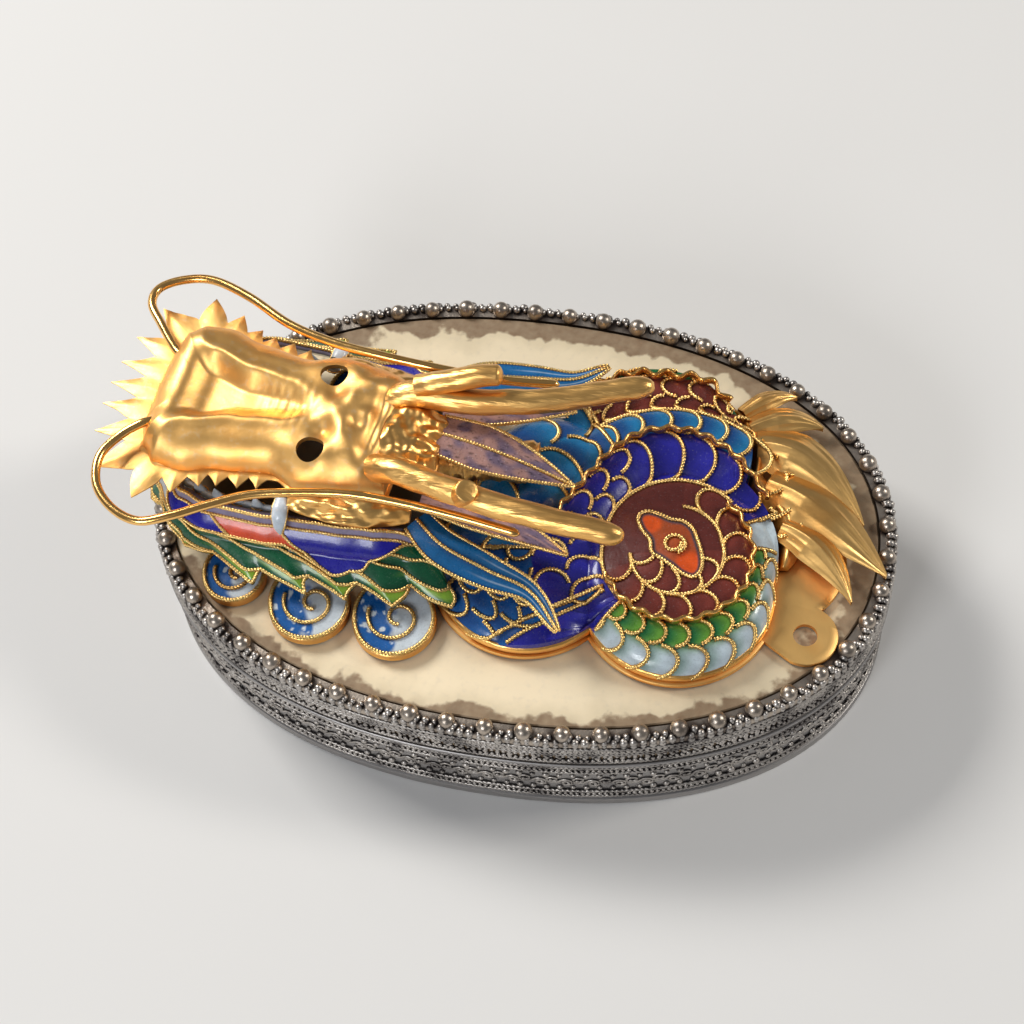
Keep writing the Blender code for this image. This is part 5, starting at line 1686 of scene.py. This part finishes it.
@dataclass
class Horns:
    """Two forked gilt horns, the collar between their roots, the neck and the two long whiskers."""

    diameter: float = 3.3
    near: tuple = ((-17.4, -5.7, 15.9), (-14.2, -6.6, 17.6), (-8.0, -8.4, 18.3), (0.2, -10.3, 18.7),
                   (7.8, -11.4, 18.8), (15.8, -12.1, 18.6))
    far: tuple = ((-17.0, 4.5, 16.0), (-14.0, 5.2, 17.4), (-9.0, 4.9, 17.5), (-3.5, 5.2, 17.7),
                  (4.7, 6.7, 18.0), (11.0, 8.6, 18.4), (16.3, 10.0, 18.8))
    tine_near: tuple = ((-4.9, -9.2, 18.4), (-4.3, -9.7, 19.9), (-3.9, -10.0, 21.2))
    tine_far: tuple = ((-13.4, 5.6, 18.4), (-9.5, 6.0, 20.0), (-5.5, 6.8, 21.0), (-2.6, 7.2, 21.2))
    neck: tuple = ((2.6, 2.0, 9.8), (-4.0, 1.2, 9.9), (-10.0, 0.4, 9.7), (-14.8, 0.0, 10.0),
                   (-19.0, -0.4, 13.2))
    neck_radius: float = 2.7
    wire: float = 1.2
    whisker_near: tuple = (
        (0.935, -5.9, 16.2), (0.977, -6.9, 16.4), (1.042, -9.0, 15.9), (1.085, -12.5, 15.8),
        (1.057, -16.3, 15.4), (0.966, -19.0, 15.2), (0.851, -20.0, 15.2), (0.732, -18.4, 15.6),
        (0.603, -15.7, 15.8), (0.471, -13.3, 16.0), (0.296, -11.6, 16.2), (0.116, -10.4, 16.4),
        (-0.078, -9.9, 16.2), (-0.308, -9.8, 15.8), (-0.54, -10.2, 15.6),
    )
    whisker_far: tuple = (
        (0.925, 4.7, 15.8), (0.975, 5.4, 15.6), (1.073, 8.7, 15.9), (1.146, 11.6, 15.8), (1.145, 14.4, 15.6),
        (1.062, 16.5, 15.6), (0.943, 17.2, 15.8), (0.776, 15.6, 16.0), (0.579, 12.6, 16.2),
        (0.388, 11.1, 16.4), (0.192, 10.5, 16.6), (-0.051, 10.5, 16.4), (-0.285, 11.1, 15.8),
        (-0.509, 12.5, 15.4),
    )
    collar: tuple = ((-16.6, -5.4, 16.0), (-16.9, -2.4, 17.25), (-16.7, 0.8, 17.35), (-15.8, 4.2, 16.6))
    collar_length: float = 7.0
    collar_thickness: float = 0.9

    def build(self) -> None:
        """Builds each of them."""
        self.horn("horn_near", self.near, self.tine_near, 11)
        self.horn("horn_far", self.far, self.tine_far, 12)
        self.gathered()
        self.neck_bar(14)
        self.whisker("whisker_near", self.whisker_near)
        self.whisker("whisker_far", self.whisker_far)

    def prong(self, points: Sequence[Point], first: float, last: float, seed: int) -> Form:
        """One prong, hammered lengthwise, with a blunt end."""
        count = 90
        path = on_lid(points, count)
        share = np.linspace(0, 1, count)
        blunt = round_over(np.maximum(0, (share - 0.93) / 0.074))
        radius = np.maximum(self.diameter / 2 * (first + (last - first) * share) * blunt, 0.08)
        form = sweep(path, radius, radius, 28)
        marks = 0.035 * ripple(form.points * (0.25, 1.0, 1.0), 1.3, seed)
        return swollen(form, path, 1 + (marks + 0.045 * ripple(form.points, 4.5, seed + 1)))

    def horn(self, name: str, points: Sequence[Point], tine: Sequence[Point], seed: int) -> None:
        """A horn and its tine."""
        forms = [self.prong(points, 1.08, 0.9, seed), self.prong(tine, 1.0, 0.82, seed + 20)]
        piece(f"{name}_gilt", together(forms), GILT_HORN, [name], sharp=70)

    def neck_bar(self, seed: int) -> None:
        """The crumpled round neck."""
        path = on_lid(self.neck, 50)
        size = np.full(50, self.neck_radius)
        form = sweep(path, size, size, 28)
        lumps = 0.14 * ripple(form.points, 1.9, seed) + 0.05 * ripple(form.points, 0.8, seed + 5)
        piece("neck_gilt", swollen(form, path, 0.97 + lumps), GILT_LEAF, ["neck"], sharp=70)

    def gathered(self) -> None:
        """The collar: a folded sheet that falls from the brow's back edge to the mane."""
        rows, count = 40, 90
        line = curve(self.collar, count)
        across = np.linspace(0, 1, count)
        rings = []
        for share in np.linspace(0, 1, rows):
            fall = -2.9 * share ** 1.6 + 0.45 * math.sin(math.pi * share)
            top = line + (self.collar_length * share, 0.1 * share, fall)
            folds = 0.20 * np.sin(across * TAU * 2.3 + 2.6 * share)
            folds = folds + 0.10 * np.sin(across * TAU * 5.1 - 1.5 * share)
            lumps = folds * (0.35 + share) + 0.26 * ripple(top, 2.4, 16)
            rings.append(top + np.column_stack((0 * lumps, 0 * lumps, LID_TOP + lumps)))
        top = np.stack(rings)
        form = loft(np.concatenate((top, top[:, ::-1] - (0, 0, self.collar_thickness)), 1))
        piece("horn_collar_gilt", form, GILT_FOLDED, ["horn_collar"], sharp=70)

    def whisker(self, name: str, points: Sequence[Point]) -> None:
        """A long smooth wire, rounded at its ends."""
        count = 240
        path = spread(PLAN.place(curve(points, 600)), count)
        share = np.linspace(0, 1, count)
        radius = self.wire / 2 * round_over(np.maximum(0, (share - 0.985) / 0.0152))
        radius = np.maximum(radius, 0.05)
        piece(f"{name}_wire", sweep(path, radius, radius, 14), GILT_SMOOTH, [name], sharp=70)


@dataclass
class Jaw:
    """The lower jaw: an enamelled lip and cheek panels, and a beard of green leaves with lime tips."""

    wall: float = 0.8
    lip_fall: float = 3.0
    lip_depth: float = 1.2
    panel: float = 2.4
    panel_foot: float = 6.9
    foot: float = 5.0
    tip_drop: float = 0.9
    thickness: float = 0.5
    pitch: float = 3.1
    leaf: float = 6.6
    root: float = 4.6
    sweep_back: float = 4.2
    chin_from: float = 0.56
    chin_blend: float = 0.24
    fine: int = 14                 # sections from a leaf's tip to its root
    panel_edges: tuple = (4.2, 6.7, 9.6)       # where the cheek's panels part, in sections from the chin
    panel_slant: float = 1.3
    wire_lift: float = 0.06
    lilac: Colour = colour("8f86a3")
    cobalt: Colour = colour("1d1aa0")
    coral: Colour = colour("e4532f")
    green: Colour = colour("0d5a38")
    lime: Colour = colour("8db63a")
    white: Colour = colour("c9d4dd")
    # the inner skin's very dark brown, painted shade
    within: Colour = colour("2e2113")

    def __post_init__(self) -> None:
        """Lays out the sections along the outline."""
        line = PLAN.outline(PLAN.jaw)
        self.count = 2 * round(length_of(line) / self.pitch / 2) + 1
        self.total = (self.count - 1) * self.fine + 1
        self.path = spread(line, self.total)
        way = np.gradient(self.path, axis=0)
        kernel = np.ones(9) / 9
        smooth = [np.convolve(np.pad(column, 4, "edge"), kernel, "valid") for column in way.T]
        way = unit(np.stack(smooth, -1))
        self.out = np.column_stack((way[:, 1], -way[:, 0]))
        self.step = np.arange(self.total) / self.fine
        self.tipness = 1 - np.abs(np.mod(self.step, 2) - 1)
        share = self.path[:, 0] / PLAN.length
        self.chin = np.clip((share - self.chin_from) / self.chin_blend, 0, 1)
        self.lip = PLAN.lip - self.lip_fall * np.maximum(0, share / PLAN.jaw[0][0])

    def surface(self, at: np.ndarray, depth: np.ndarray, inner: bool = False) -> np.ndarray:
        """Points of the jaw's skin.

        Args:
            at: how far along the outline, in sections of the solid.
            depth: 0 at the lip, 1 at the panels' top, 2 at their foot and 3 at the leaves' tips.
            inner: whether they lie on the inner skin.

        Returns:
            The points in the part's own frame.
        """
        at, depth = np.asarray(at, float), np.asarray(depth, float)
        known = (*self.path.T, *self.out.T, self.lip, self.chin, self.tipness)
        x, y, ox, oy, lip, chin, tip = (np.interp(at, self.step, values) for values in known)
        pointed = tip ** 1.15
        reach = (self.root + (self.leaf - self.root) * pointed) * (1 - 0.45 * chin)
        back = -self.sweep_back * (0.4 + 0.6 * pointed) * (1 - chin)
        drop = self.foot - self.tip_drop * tip
        none = np.zeros_like(x)
        out = np.stack([none, none + 0.25 * self.panel, none + self.panel, reach])
        high = np.stack([lip, lip - self.lip_depth, none + self.panel_foot, drop])
        swept = np.stack([none, none, none, back])
        low = np.clip(depth.astype(int), 0, 2)
        part = np.clip(depth - low, 0, 1)
        index = np.arange(len(x))
        made = []
        for rows in (out, high, swept):
            first, last = rows[low, index], rows[low + 1, index]
            made.append(first + (last - first) * part)
        bulge = 0.35 * np.sin(math.pi * part) * (low == 1) + 0.25 * np.sin(math.pi * part) * (low == 2)
        offset, z = made[0] + bulge, made[1]
        if inner:
            offset, z = offset - self.wall * (depth < 2.2), z - self.thickness * (depth >= 1.5) - 0.1
        points = np.column_stack(((x + ox * offset + made[2]) / PLAN.length, y + oy * offset, z))
        return PLAN.place(points)

    def build(self) -> None:
        """Builds the enamelled skin and its wires."""
        outer = np.concatenate((np.linspace(0, 1, 5), np.linspace(1, 2, 16)[1:], np.linspace(2, 3, 20)[1:]))
        inner = np.array((3.0, 2.5, 2.0, 1.0, 0.0))
        rings = []
        for at in self.step:
            outside = self.surface(np.full(len(outer), at), outer)
            inside = self.surface(np.full(len(inner), at), inner, True)
            rings.append(np.vstack((outside, inside)))
        form = loft(np.stack(rings))
        depths = np.concatenate((outer, inner))
        at = np.concatenate((np.repeat(self.step, len(depths)), (0, self.step[-1])))
        depth = np.concatenate((np.tile(depths, self.total), (1.5, 1.5)))
        form.tints = self.tint(at, depth)
        hidden = np.concatenate((np.tile(np.arange(len(depths)) >= len(outer), self.total), (True, True)))
        # painted shade: the inner skin is painted very dark brown, so the inside of the jaw looks dim
        form.tints[hidden] = self.within
        piece("jaw_enamel", form, ENAMEL_GREEN, ["lower_jaw"], sharp=50)
        raised = [line + (0, 0, self.wire_lift) for line in self.wires()]
        twisted("jaw_wires", raised, 0.6, 0.6)

    def mirror(self, at: np.ndarray) -> np.ndarray:
        """How far from the chin's middle, in sections, the same on both sides."""
        return np.abs(at - (self.count - 1) / 2)

    def leaf_edge(self, depth: np.ndarray) -> np.ndarray:
        """How far back, in sections, a leaf's edge still has to sweep at a depth."""
        return -4.4 * np.clip((3 - depth) / 1.5, 0, 1) ** 1.1

    def foot_depth(self, from_chin: np.ndarray) -> np.ndarray:
        """How deep the panels reach."""
        along = np.clip((from_chin - 9.4) / 5.3, 0, 1)
        return 1.74 - 0.74 * ease(along, 0.35, 1.0) + 0.8 * np.sin(math.pi * along) ** 0.9

    def tint(self, at: np.ndarray, depth: np.ndarray) -> np.ndarray:
        """The enamel's colours over the skin."""
        made = np.zeros((len(at), 3)) + self.lilac
        from_chin = self.mirror(at)
        slant = from_chin - self.panel_slant * (depth - 1.5)
        panel = (depth >= 1) & (depth < self.foot_depth(from_chin))
        hues = np.array((self.white, self.cobalt, self.coral, self.cobalt))
        panels = hues[np.searchsorted(self.panel_edges, slant, "right")]
        made[panel] = panels[panel]
        leaf = (depth >= 1) & ~panel
        along = np.mod(from_chin - self.leaf_edge(depth), 2.0) / 2.0
        lime = ease(depth, 2.3, 2.7) * ease(along, 0.5, 0.8)
        leaves = blend(self.green, self.lime, lime)
        leaves = leaves * (1 - 0.35 * (1 - ease(along, 0.0, 0.5)))[:, None]
        made[leaf] = leaves[leaf]
        return made

    def wires(self) -> list[np.ndarray]:
        """The wires along the lip, round the panels, between the leaves and round their tips."""
        last = self.count - 1
        whole = np.linspace(0, last, 400)
        lines = [self.surface(whole, np.full(400, depth)) for depth in (0.0, 1.0)]
        lines.append(self.surface(whole, self.foot_depth(self.mirror(whole))))
        fine = np.linspace(0, last, self.total)
        lines.append(self.surface(fine, np.full(len(fine), 2.985)))
        middle = last / 2
        down = np.linspace(1.0, 2.98, 60)
        for side in (Side.NEAR.value, Side.FAR.value):
            for edge in self.panel_edges:
                from_chin = edge + self.panel_slant * (down - 1.5)
                keep = down <= self.foot_depth(from_chin)
                lines.append(self.surface(middle + side * from_chin[keep], down[keep]))
            leaf = 0.0
            while leaf < middle + 4:
                from_chin = leaf + self.leaf_edge(down)
                keep = (from_chin >= 0) & (from_chin <= middle - 0.05)
                keep &= down >= self.foot_depth(from_chin)
                if keep.sum() > 4:
                    lines.append(self.surface(middle + side * from_chin[keep], down[keep]))
                leaf += 2.0
        return lines


@dataclass
class Mouth:
    """The lower teeth, the two long fangs and the knotted gilt jaw muscles."""

    teeth: int = 6
    span: tuple[float, float] = (0.41, 0.81)
    tooth: float = 1.7
    tooth_width: float = 1.2
    lip_wall: float = 0.8
    lip_gap: float = 0.45
    bar: float = 0.55
    fang_at: float = 0.37
    fang: tuple = ((0.6, -1.8, 1.7), (0.3, 0.0, 1.5), (0.1, 1.3, 0.4), (-0.1, 1.8, -0.9))
    fang_radii: tuple = (0.6, 0.75, 0.75, 0.55, 0.15)
    cheek_at: float = 0.13
    cheek: float = 15.6
    cheek_z: float = 12.6
    cheek_slant: float = math.radians(46)
    white: Colour = colour("cdd8e2")

    def build(self) -> None:
        """Builds both sides."""
        for side in Side:
            name = side.name.lower()
            self.tooth_row(name, side.value)
            self.long_fang(name, side.value)
            self.muscle(name, side.value)

    def across(self, share: np.ndarray) -> np.ndarray:
        """How far across the lip's outer edge is."""
        return table(PLAN.jaw, share)

    def enamelled(self, form: Form) -> Form:
        """The form, all white."""
        form.tints = np.zeros((len(form.points), 3)) + self.white
        return form

    def tooth_row(self, name: str, side: int) -> None:
        """A gum bar and its pointed teeth, each with a gilt edge."""
        low = PLAN.lip - self.tooth
        first, last = self.span
        count = 60
        share = np.linspace(first - 0.01, last + 0.01, count)
        middle = side * (self.across(share) - self.lip_wall - self.lip_gap - self.tooth_width / 2)
        path = PLAN.place(np.column_stack((share, middle, np.full(count, low + self.bar))))
        forms = [sweep(path, np.full(count, self.bar), np.full(count, self.bar), 10)]
        edges = []
        rise = np.linspace(0, 1, 9)
        around, rim = turns(14), np.linspace(0, TAU, 25)[:-1]
        for at in np.linspace(first, last, self.teeth):
            v = side * (float(self.across(at)) - self.lip_wall - self.lip_gap - self.tooth_width / 2)
            high = low + 0.7 + (self.tooth + 0.5) * rise
            spine = PLAN.place(np.column_stack((at + 0.006 * rise, np.full(9, v), high)))
            rings = []
            for point, s in zip(spine, np.maximum(0.05, 0.95 * (1 - rise) ** 0.7)):
                ring = np.column_stack((s * np.cos(around), 0.55 * s * np.sin(around), 0 * around))
                rings.append(point + ring)
            forms.append(loft(np.stack(rings)))
            edges.append(spine[0] + np.column_stack((1.02 * np.cos(rim), 0.62 * np.sin(rim), 0.05 + 0 * rim)))
        form = self.enamelled(together(forms))
        piece(f"teeth_{name}_enamel", form, ENAMEL_WHITE, [f"teeth_{name}"], sharp=60)
        twisted(f"teeth_{name}_wires", edges, 0.3, 0.7, closed=True)

    def long_fang(self, name: str, side: int) -> None:
        """A curved white fang edged with wire."""
        count = 30
        share = np.linspace(0, 1, count)
        lip = float(self.across(self.fang_at))
        ahead, out, high = curve(self.fang, count).T
        at = self.fang_at + ahead / PLAN.length
        path = PLAN.place(np.column_stack((at, side * (lip + out), PLAN.lip + high)))
        radius = np.interp(share, np.linspace(0, 1, len(self.fang_radii)), self.fang_radii)
        form = self.enamelled(sweep(path, radius * 1.35, radius * 0.8, 18))
        piece(f"fang_{name}_enamel", form, ENAMEL_WHITE, [f"fang_{name}"], sharp=60)
        edges = [path + np.column_stack((sign * 1.32 * radius, 0 * radius, 0 * radius)) for sign in (-1, 1)]
        twisted(f"fang_{name}_wires", edges, 0.34, 0.7)

    def muscle(self, name: str, side: int) -> None:
        """The crumpled muscle beside the mouth, slanting out from the shell to the lip."""
        count, sides = 130, 44
        share = np.linspace(0, 1, count)[:, None]
        at = self.cheek_at + self.cheek * (0.5 - share) / PLAN.length
        turn = turns(sides)[None]
        swell = np.sin(math.pi * (0.06 + 0.88 * share)) ** 0.45
        wide, thick = 2.05 * swell * np.cos(turn), 0.75 * swell * np.sin(turn)
        c, s = math.cos(self.cheek_slant), math.sin(self.cheek_slant)
        middle = np.interp(at, *zip(*PLAN.jaw)) - 1.6
        across = side * (middle + wide * c + thick * s)
        high = self.cheek_z - wide * s + thick * c - 1.0 * share ** 2
        points = PLAN.place(np.stack((at + 0 * turn, across, high), -1))
        folds = 0.42 * ripple(points * (0.4, 1, 1), 2.6, 31) + 0.12 * ripple(points * (0.5, 1, 1), 1.2, 32)
        points[..., 2] += folds * swell
        points[..., 1] += side * 0.7 * folds * swell
        piece(f"cheek_{name}_gilt", loft(points), GILT_FOLDED, [f"cheek_{name}"], sharp=70)


@dataclass
class Mane:
    """The mane: three speckled leaves behind the head and a long striped lock on each side."""

    leaves: dict = field(default_factory=lambda: {
        "mane_leaf_centre": ((-10.6, 1.6, 14.2), (-2.4, 0.2, 14.4), (8.1, -2.8, 13.0), 3.5),
        "mane_leaf_near": ((-11.0, -6.3, 11.8), (-2.0, -7.6, 11.9), (8.8, -11.0, 9.6), 2.5),
        "mane_leaf_far": ((-11.0, 6.6, 11.8), (-2.0, 8.2, 12.4), (6.6, 9.2, 11.8), 2.5),
    })
    leaf_root: float = 0.85
    rise: float = 0.5
    thickness: float = 0.8
    locks: dict = field(default_factory=lambda: {
        "mane_lock_near": ((-11.4, -9.0, 9.9), (-7.4, -12.2, 9.6), (-1.2, -14.4, 8.8), (4.6, -16.2, 8.3),
                           (8.8, -20.6, 7.4)),
        "mane_lock_far": ((-11.4, 11.2, 9.9), (-7.4, 14.2, 8.8), (-1.2, 15.9, 7.6), (4.6, 17.2, 6.9),
                          (8.8, 20.2, 6.6)),
    })
    lock_half: float = 2.8
    sections: tuple[int, int] = (60, 80)       # along a leaf and along a lock
    rose: Colour = colour("b08a83")
    mauve: Colour = colour("75657a")
    turquoise: Colour = colour("1c6aa6")
    deep: Colour = colour("154c86")
    pale: Colour = colour("b9cfe0")

    def build(self) -> None:
        """Builds the leaves and the locks with their wires."""
        wires = []
        for name, (base, middle, tip, half) in self.leaves.items():
            wires += self.leaf(name, base, middle, tip, half)
        for name, points in self.locks.items():
            wires += self.lock(name, points)
        twisted("mane_wires", wires, 0.6, 0.6)

    def strip(self, name: str, line: np.ndarray, half: np.ndarray, rise: float, tint: Painter,
              finish: Finish) -> Face:
        """A crowned enamelled strip along a line.

        Args:
            name: the node that it replaces.
            line: its middle line in the part's own frame.
            half: half its width along the line.
            rise: how far its middle stands above its edges.
            tint: gives the colours from the share along and the place across, -1 to 1.
            finish: its finish.

        Returns:
            A function that gives points of its face for shares along and a place across.
        """
        count, sides = len(line), 25
        side = beside(line)
        shares, across = np.linspace(0, 1, count), np.linspace(-1, 1, sides)
        swell = half / half.max()

        def face(share: np.ndarray, place: np.ndarray) -> np.ndarray:
            """Points of the strip's face."""
            at, over = at_share(share, shares, line), at_share(share, shares, side)
            high = np.interp(share, shares, swell) * rise * (1 - np.abs(place) ** 1.5)
            points = at + over * (np.interp(share, shares, half) * place)[:, None]
            points[:, 2] += high
            return points

        rings = []
        for i, share in enumerate(shares):
            top = face(np.full(sides, share), across)
            low = top[::-1][1:-1].copy()
            low[:, 2] = line[i, 2] - (self.thickness * swell[i] * (1 - across[1:-1] ** 2) + 0.12)
            rings.append(np.vstack((top, low)))
        form = loft(np.stack(rings))
        places = np.concatenate((across, across[::-1][1:-1]))
        along = np.concatenate((np.repeat(shares, len(places)), (0, 1)))
        form.tints = tint(along, np.concatenate((np.tile(places, count), (0, 0))))
        piece(f"{name}_enamel", form, finish, [name], sharp=50)
        return face

    def leaf(self, name: str, base: Point, middle: Point, tip: Point, half: float) -> list[np.ndarray]:
        """One leaf of two speckled panels; gives its wires."""
        b, m, t = (np.array((x, y, LID_TOP + z)) for x, y, z in (base, middle, tip))
        count = self.sections[0]
        _, line, width = blade_line(b, m, t, half, self.leaf_root, count)

        def tint(along: np.ndarray, across: np.ndarray) -> np.ndarray:
            """Rose that fades to mauve, in blots."""
            spot = np.stack((along * 12, across * 3), -1)
            mixed = ease(ripple(spot, 2.6, 41) + 0.9 * along - 0.2, -0.2, 0.7)
            dark = ease(ripple(spot, 0.9, 42), 0.55, 0.9)[:, None]
            return blend(self.rose, self.mauve, mixed) * (1 - 0.55 * dark)

        face = self.strip(name, line, width, self.rise, tint, ENAMEL_SPECKLED)
        along = np.linspace(0, 1, count)
        places = (-0.97, 0.97, 0.0) if half > 3 else (-0.97, 0.97)
        return [face(along, np.full(count, place)) for place in places]

    def lock(self, name: str, points: Sequence[Point]) -> list[np.ndarray]:
        """One lock with two turquoise bands; gives its wires."""
        count = self.sections[1]
        line = on_lid(points, count)
        share = np.linspace(0, 1, count)
        width = self.lock_half * (0.7 + 0.3 * np.sin(math.pi * np.minimum(1, 1.3 * share)))
        width = np.maximum(width * round_over(share * 0.995), 0.1)

        def tint(along: np.ndarray, across: np.ndarray) -> np.ndarray:
            """Turquoise bands with a pale streak in each."""
            within = np.abs(np.mod(across + 1, 1) - 0.5) * 2
            made = blend(self.turquoise, self.deep, ease(within, 0.3, 1.0))
            streak = (1 - ease(np.abs(np.mod(across + 1, 1) - 0.5), 0.02, 0.09)) * ease(along, 0.35, 0.6)
            return made * (1 - 0.7 * streak[:, None]) + np.array(self.pale) * 0.7 * streak[:, None]

        face = self.strip(name, line, width, self.rise, tint, ENAMEL_TURQUOISE)
        along = np.linspace(0, 1, count)
        return [face(along, np.full(count, place)) for place in (-0.96, 0.0, 0.96)]


@dataclass
class Tail:
    """The gilt tail: veined blades that spring from the coil and lap over each other."""

    blades: tuple = (
        ((28.0, 20.8), (31.0, 21.8), (34.4, 22.0), 1.6, 1.2),
        ((29.4, 18.0), (33.8, 18.8), (38.4, 17.4), 2.3, 1.6),
        ((30.8, 14.8), (36.6, 13.6), (45.2, 2.8), 4.0, 2.4),
        ((33.2, 8.6), (39.4, 4.4), (48.8, -4.2), 4.2, 2.5),
        ((36.0, 1.6), (40.8, -1.4), (44.6, -8.8), 2.6, 1.9),
    )
    base: float = 1.3
    sections: int = 90
    sides: int = 41
    root_sides: tuple[int, int] = (1, 10)
    body_sides: int = 45
    root_reach: float = 4.4
    root_crown: float = 2.3

    def build(self) -> None:
        """Builds the blades and the root that they spring from as one piece."""
        forms = [self.blade(i, *blade) for i, blade in enumerate(self.blades)]
        forms.append(self.root())
        piece("tail_gilt", together(forms), GILT_TAIL, ["tail_fin"], sharp=70)

    def blade(self, number: int, base: Point, middle: Point, tip: Point, half: float, crown: float) -> Form:
        """One veined blade."""
        z = LID_TOP + self.base + 0.9 + 0.25 * number
        start = np.array(base) + (np.array(RELIEF.eye) - base) * 0.1
        b, m, t = np.array((*start, z)), np.array((*middle, z + 0.6)), np.array((*tip, z))
        share, line, width = blade_line(b, m, t, half, 0.75, self.sections)
        across = np.linspace(-1, 1, self.sides)
        along, slim = share[:, None], (width / half)[:, None]
        veins = 0.13 * np.abs(np.sin(across * math.pi * 2.5 + 0.25 * np.sin(along * 5 + number))) ** 0.7
        veins = veins * slim * (1 - across ** 4)
        crest = crown * slim * (1 - np.abs(across) ** 1.3)
        flat = np.stack(np.broadcast_arrays(along * 14, across * half), -1)
        top = line[:, None] + beside(line)[:, None] * (width[:, None] * across)[..., None]
        top[..., 2] += crest * 0.92 - veins + 0.05 * ripple(flat * (0.25, 1), 1.2, 50 + number) * slim
        low = top[:, ::-1][:, 1:-1].copy()
        low[..., 2] = line[:, None, 2] - 0.9 * (1 - across[1:-1] ** 2)[None] - 0.08
        return loft(np.concatenate((top, low), 1))

    def root(self) -> Form:
        """The band round the coil's foot that the blades start in."""
        first, last = (TAU * i / self.body_sides for i in self.root_sides)
        count = 70
        turn = np.linspace(first, last, count)
        near = RELIEF.reach(turn, RELIEF.discs) + 0.1
        taper = np.sin(math.pi * np.linspace(0.04, 0.96, count)) ** 0.6
        out = np.linspace(0, 1, 24)
        foot = LID_TOP + self.base
        rings = []
        for a, span, full in zip(turn, near, taper):
            reach = span + self.root_reach * full * out
            folds = 0.16 * np.sin(a * 30 + out * 4) * np.sin(math.pi * out)
            crown = (0.45 * (1 - out) + self.root_crown * np.sin(math.pi * out) ** 1.3 + folds) * full
            top = np.column_stack((from_eye(np.full(len(out), a), reach), foot + 0.3 + crown))
            low = circle(RELIEF.eye, reach[[-1, 0]], np.full(2, a), foot)
            rings.append(np.vstack((top, low)))
        return loft(np.stack(rings))


@dataclass
class Studio:
    """The camera where the photograph was taken from, a pale floor and soft light."""

    eye: Point = (34.1, -128.1, 248.0)
    right: Point = (0.9821, 0.1817, -0.0497)
    up: Point = (-0.1333, 0.8567, 0.4982)
    back: Point = (0.1331, -0.4827, 0.8656)
    lens: float = 69.64
    sensor: float = 36.0
    floor_half: float = 3.0        # metres, as the lights' places are
    room: float = 0.16
    softboxes: tuple = (
        ((-0.48, 0.26, 0.52), 0.26, 4.1, (1.0, 0.98, 0.95)),
        ((0.52, 0.16, 0.42), 0.14, 1.5, (1.0, 0.96, 0.90)),
        ((-0.20, -0.52, 0.36), 0.18, 1.4, (0.95, 0.97, 1.0)),
    )
    aim: Point = (0.0, 0.0, 0.02)

    def build(self) -> None:
        """Sets up the camera, the floor and the lights."""
        self.camera()
        self.floor()
        self.lights()

    def camera(self) -> None:
        """The camera, by its place and its three axes."""
        data = bpy.data.cameras.new("camera")
        data.lens, data.sensor_width = self.lens, self.sensor
        data.clip_start, data.clip_end = 0.01, 10
        made = put("camera", data)
        axes = np.eye(4)
        axes[:3, 0], axes[:3, 1], axes[:3, 2] = self.right, self.up, self.back
        axes[:3, 3] = np.array(self.eye) * MM
        made.matrix_world = Matrix(axes.tolist())
        bpy.context.scene.camera = made

    def floor(self) -> None:
        """A wide pale floor under the box."""
        data = bpy.data.meshes.new("floor")
        half = self.floor_half
        corners = [(-half, -half, 0), (half, -half, 0), (half, half, 0), (-half, half, 0)]
        data.from_pydata(corners, [], [(0, 1, 2, 3)])
        data.materials.append(Backdrop("pale_floor").material())
        put("floor", data)

    def lights(self) -> None:
        """A dim room, a large soft light above and behind, and two smaller ones."""
        world = bpy.data.worlds.new("room")
        world.use_nodes = True
        world.node_tree.nodes["Background"].inputs[0].default_value = (0.90, 0.93, 1.0, 1)
        world.node_tree.nodes["Background"].inputs[1].default_value = self.room
        bpy.context.scene.world = world
        bpy.context.scene.view_settings.view_transform = "Standard"
        for place, size, power, tint in self.softboxes:
            data = bpy.data.lights.new("softbox", "AREA")
            data.size, data.energy, data.color = size, power, tint
            way = Vector(self.aim) - Vector(place)
            turned = way.to_track_quat("-Z", "Y").to_matrix().to_4x4()
            put("softbox", data).matrix_world = Matrix.Translation(place) @ turned


def dress_frame() -> None:
    """Gives the nodes that stay their finishes."""
    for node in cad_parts.values():
        if not node.hide_render:
            node.data.materials.clear()
            node.data.materials.append(GILT_LEAF.material())


def main() -> None:
    """Builds the scene and reports each piece's faces."""
    logging.basicConfig(level=logging.INFO, format="%(message)s")
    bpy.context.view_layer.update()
    for part in (Studio, FiligreeBox, DragonBody, Plate, Waves, Jaw, Mouth, Head, Horns, Mane, Tail):
        LOG.info("building %s", part.__name__)
        part().build()
    dress_frame()


if __name__ == "__main__":
    main()
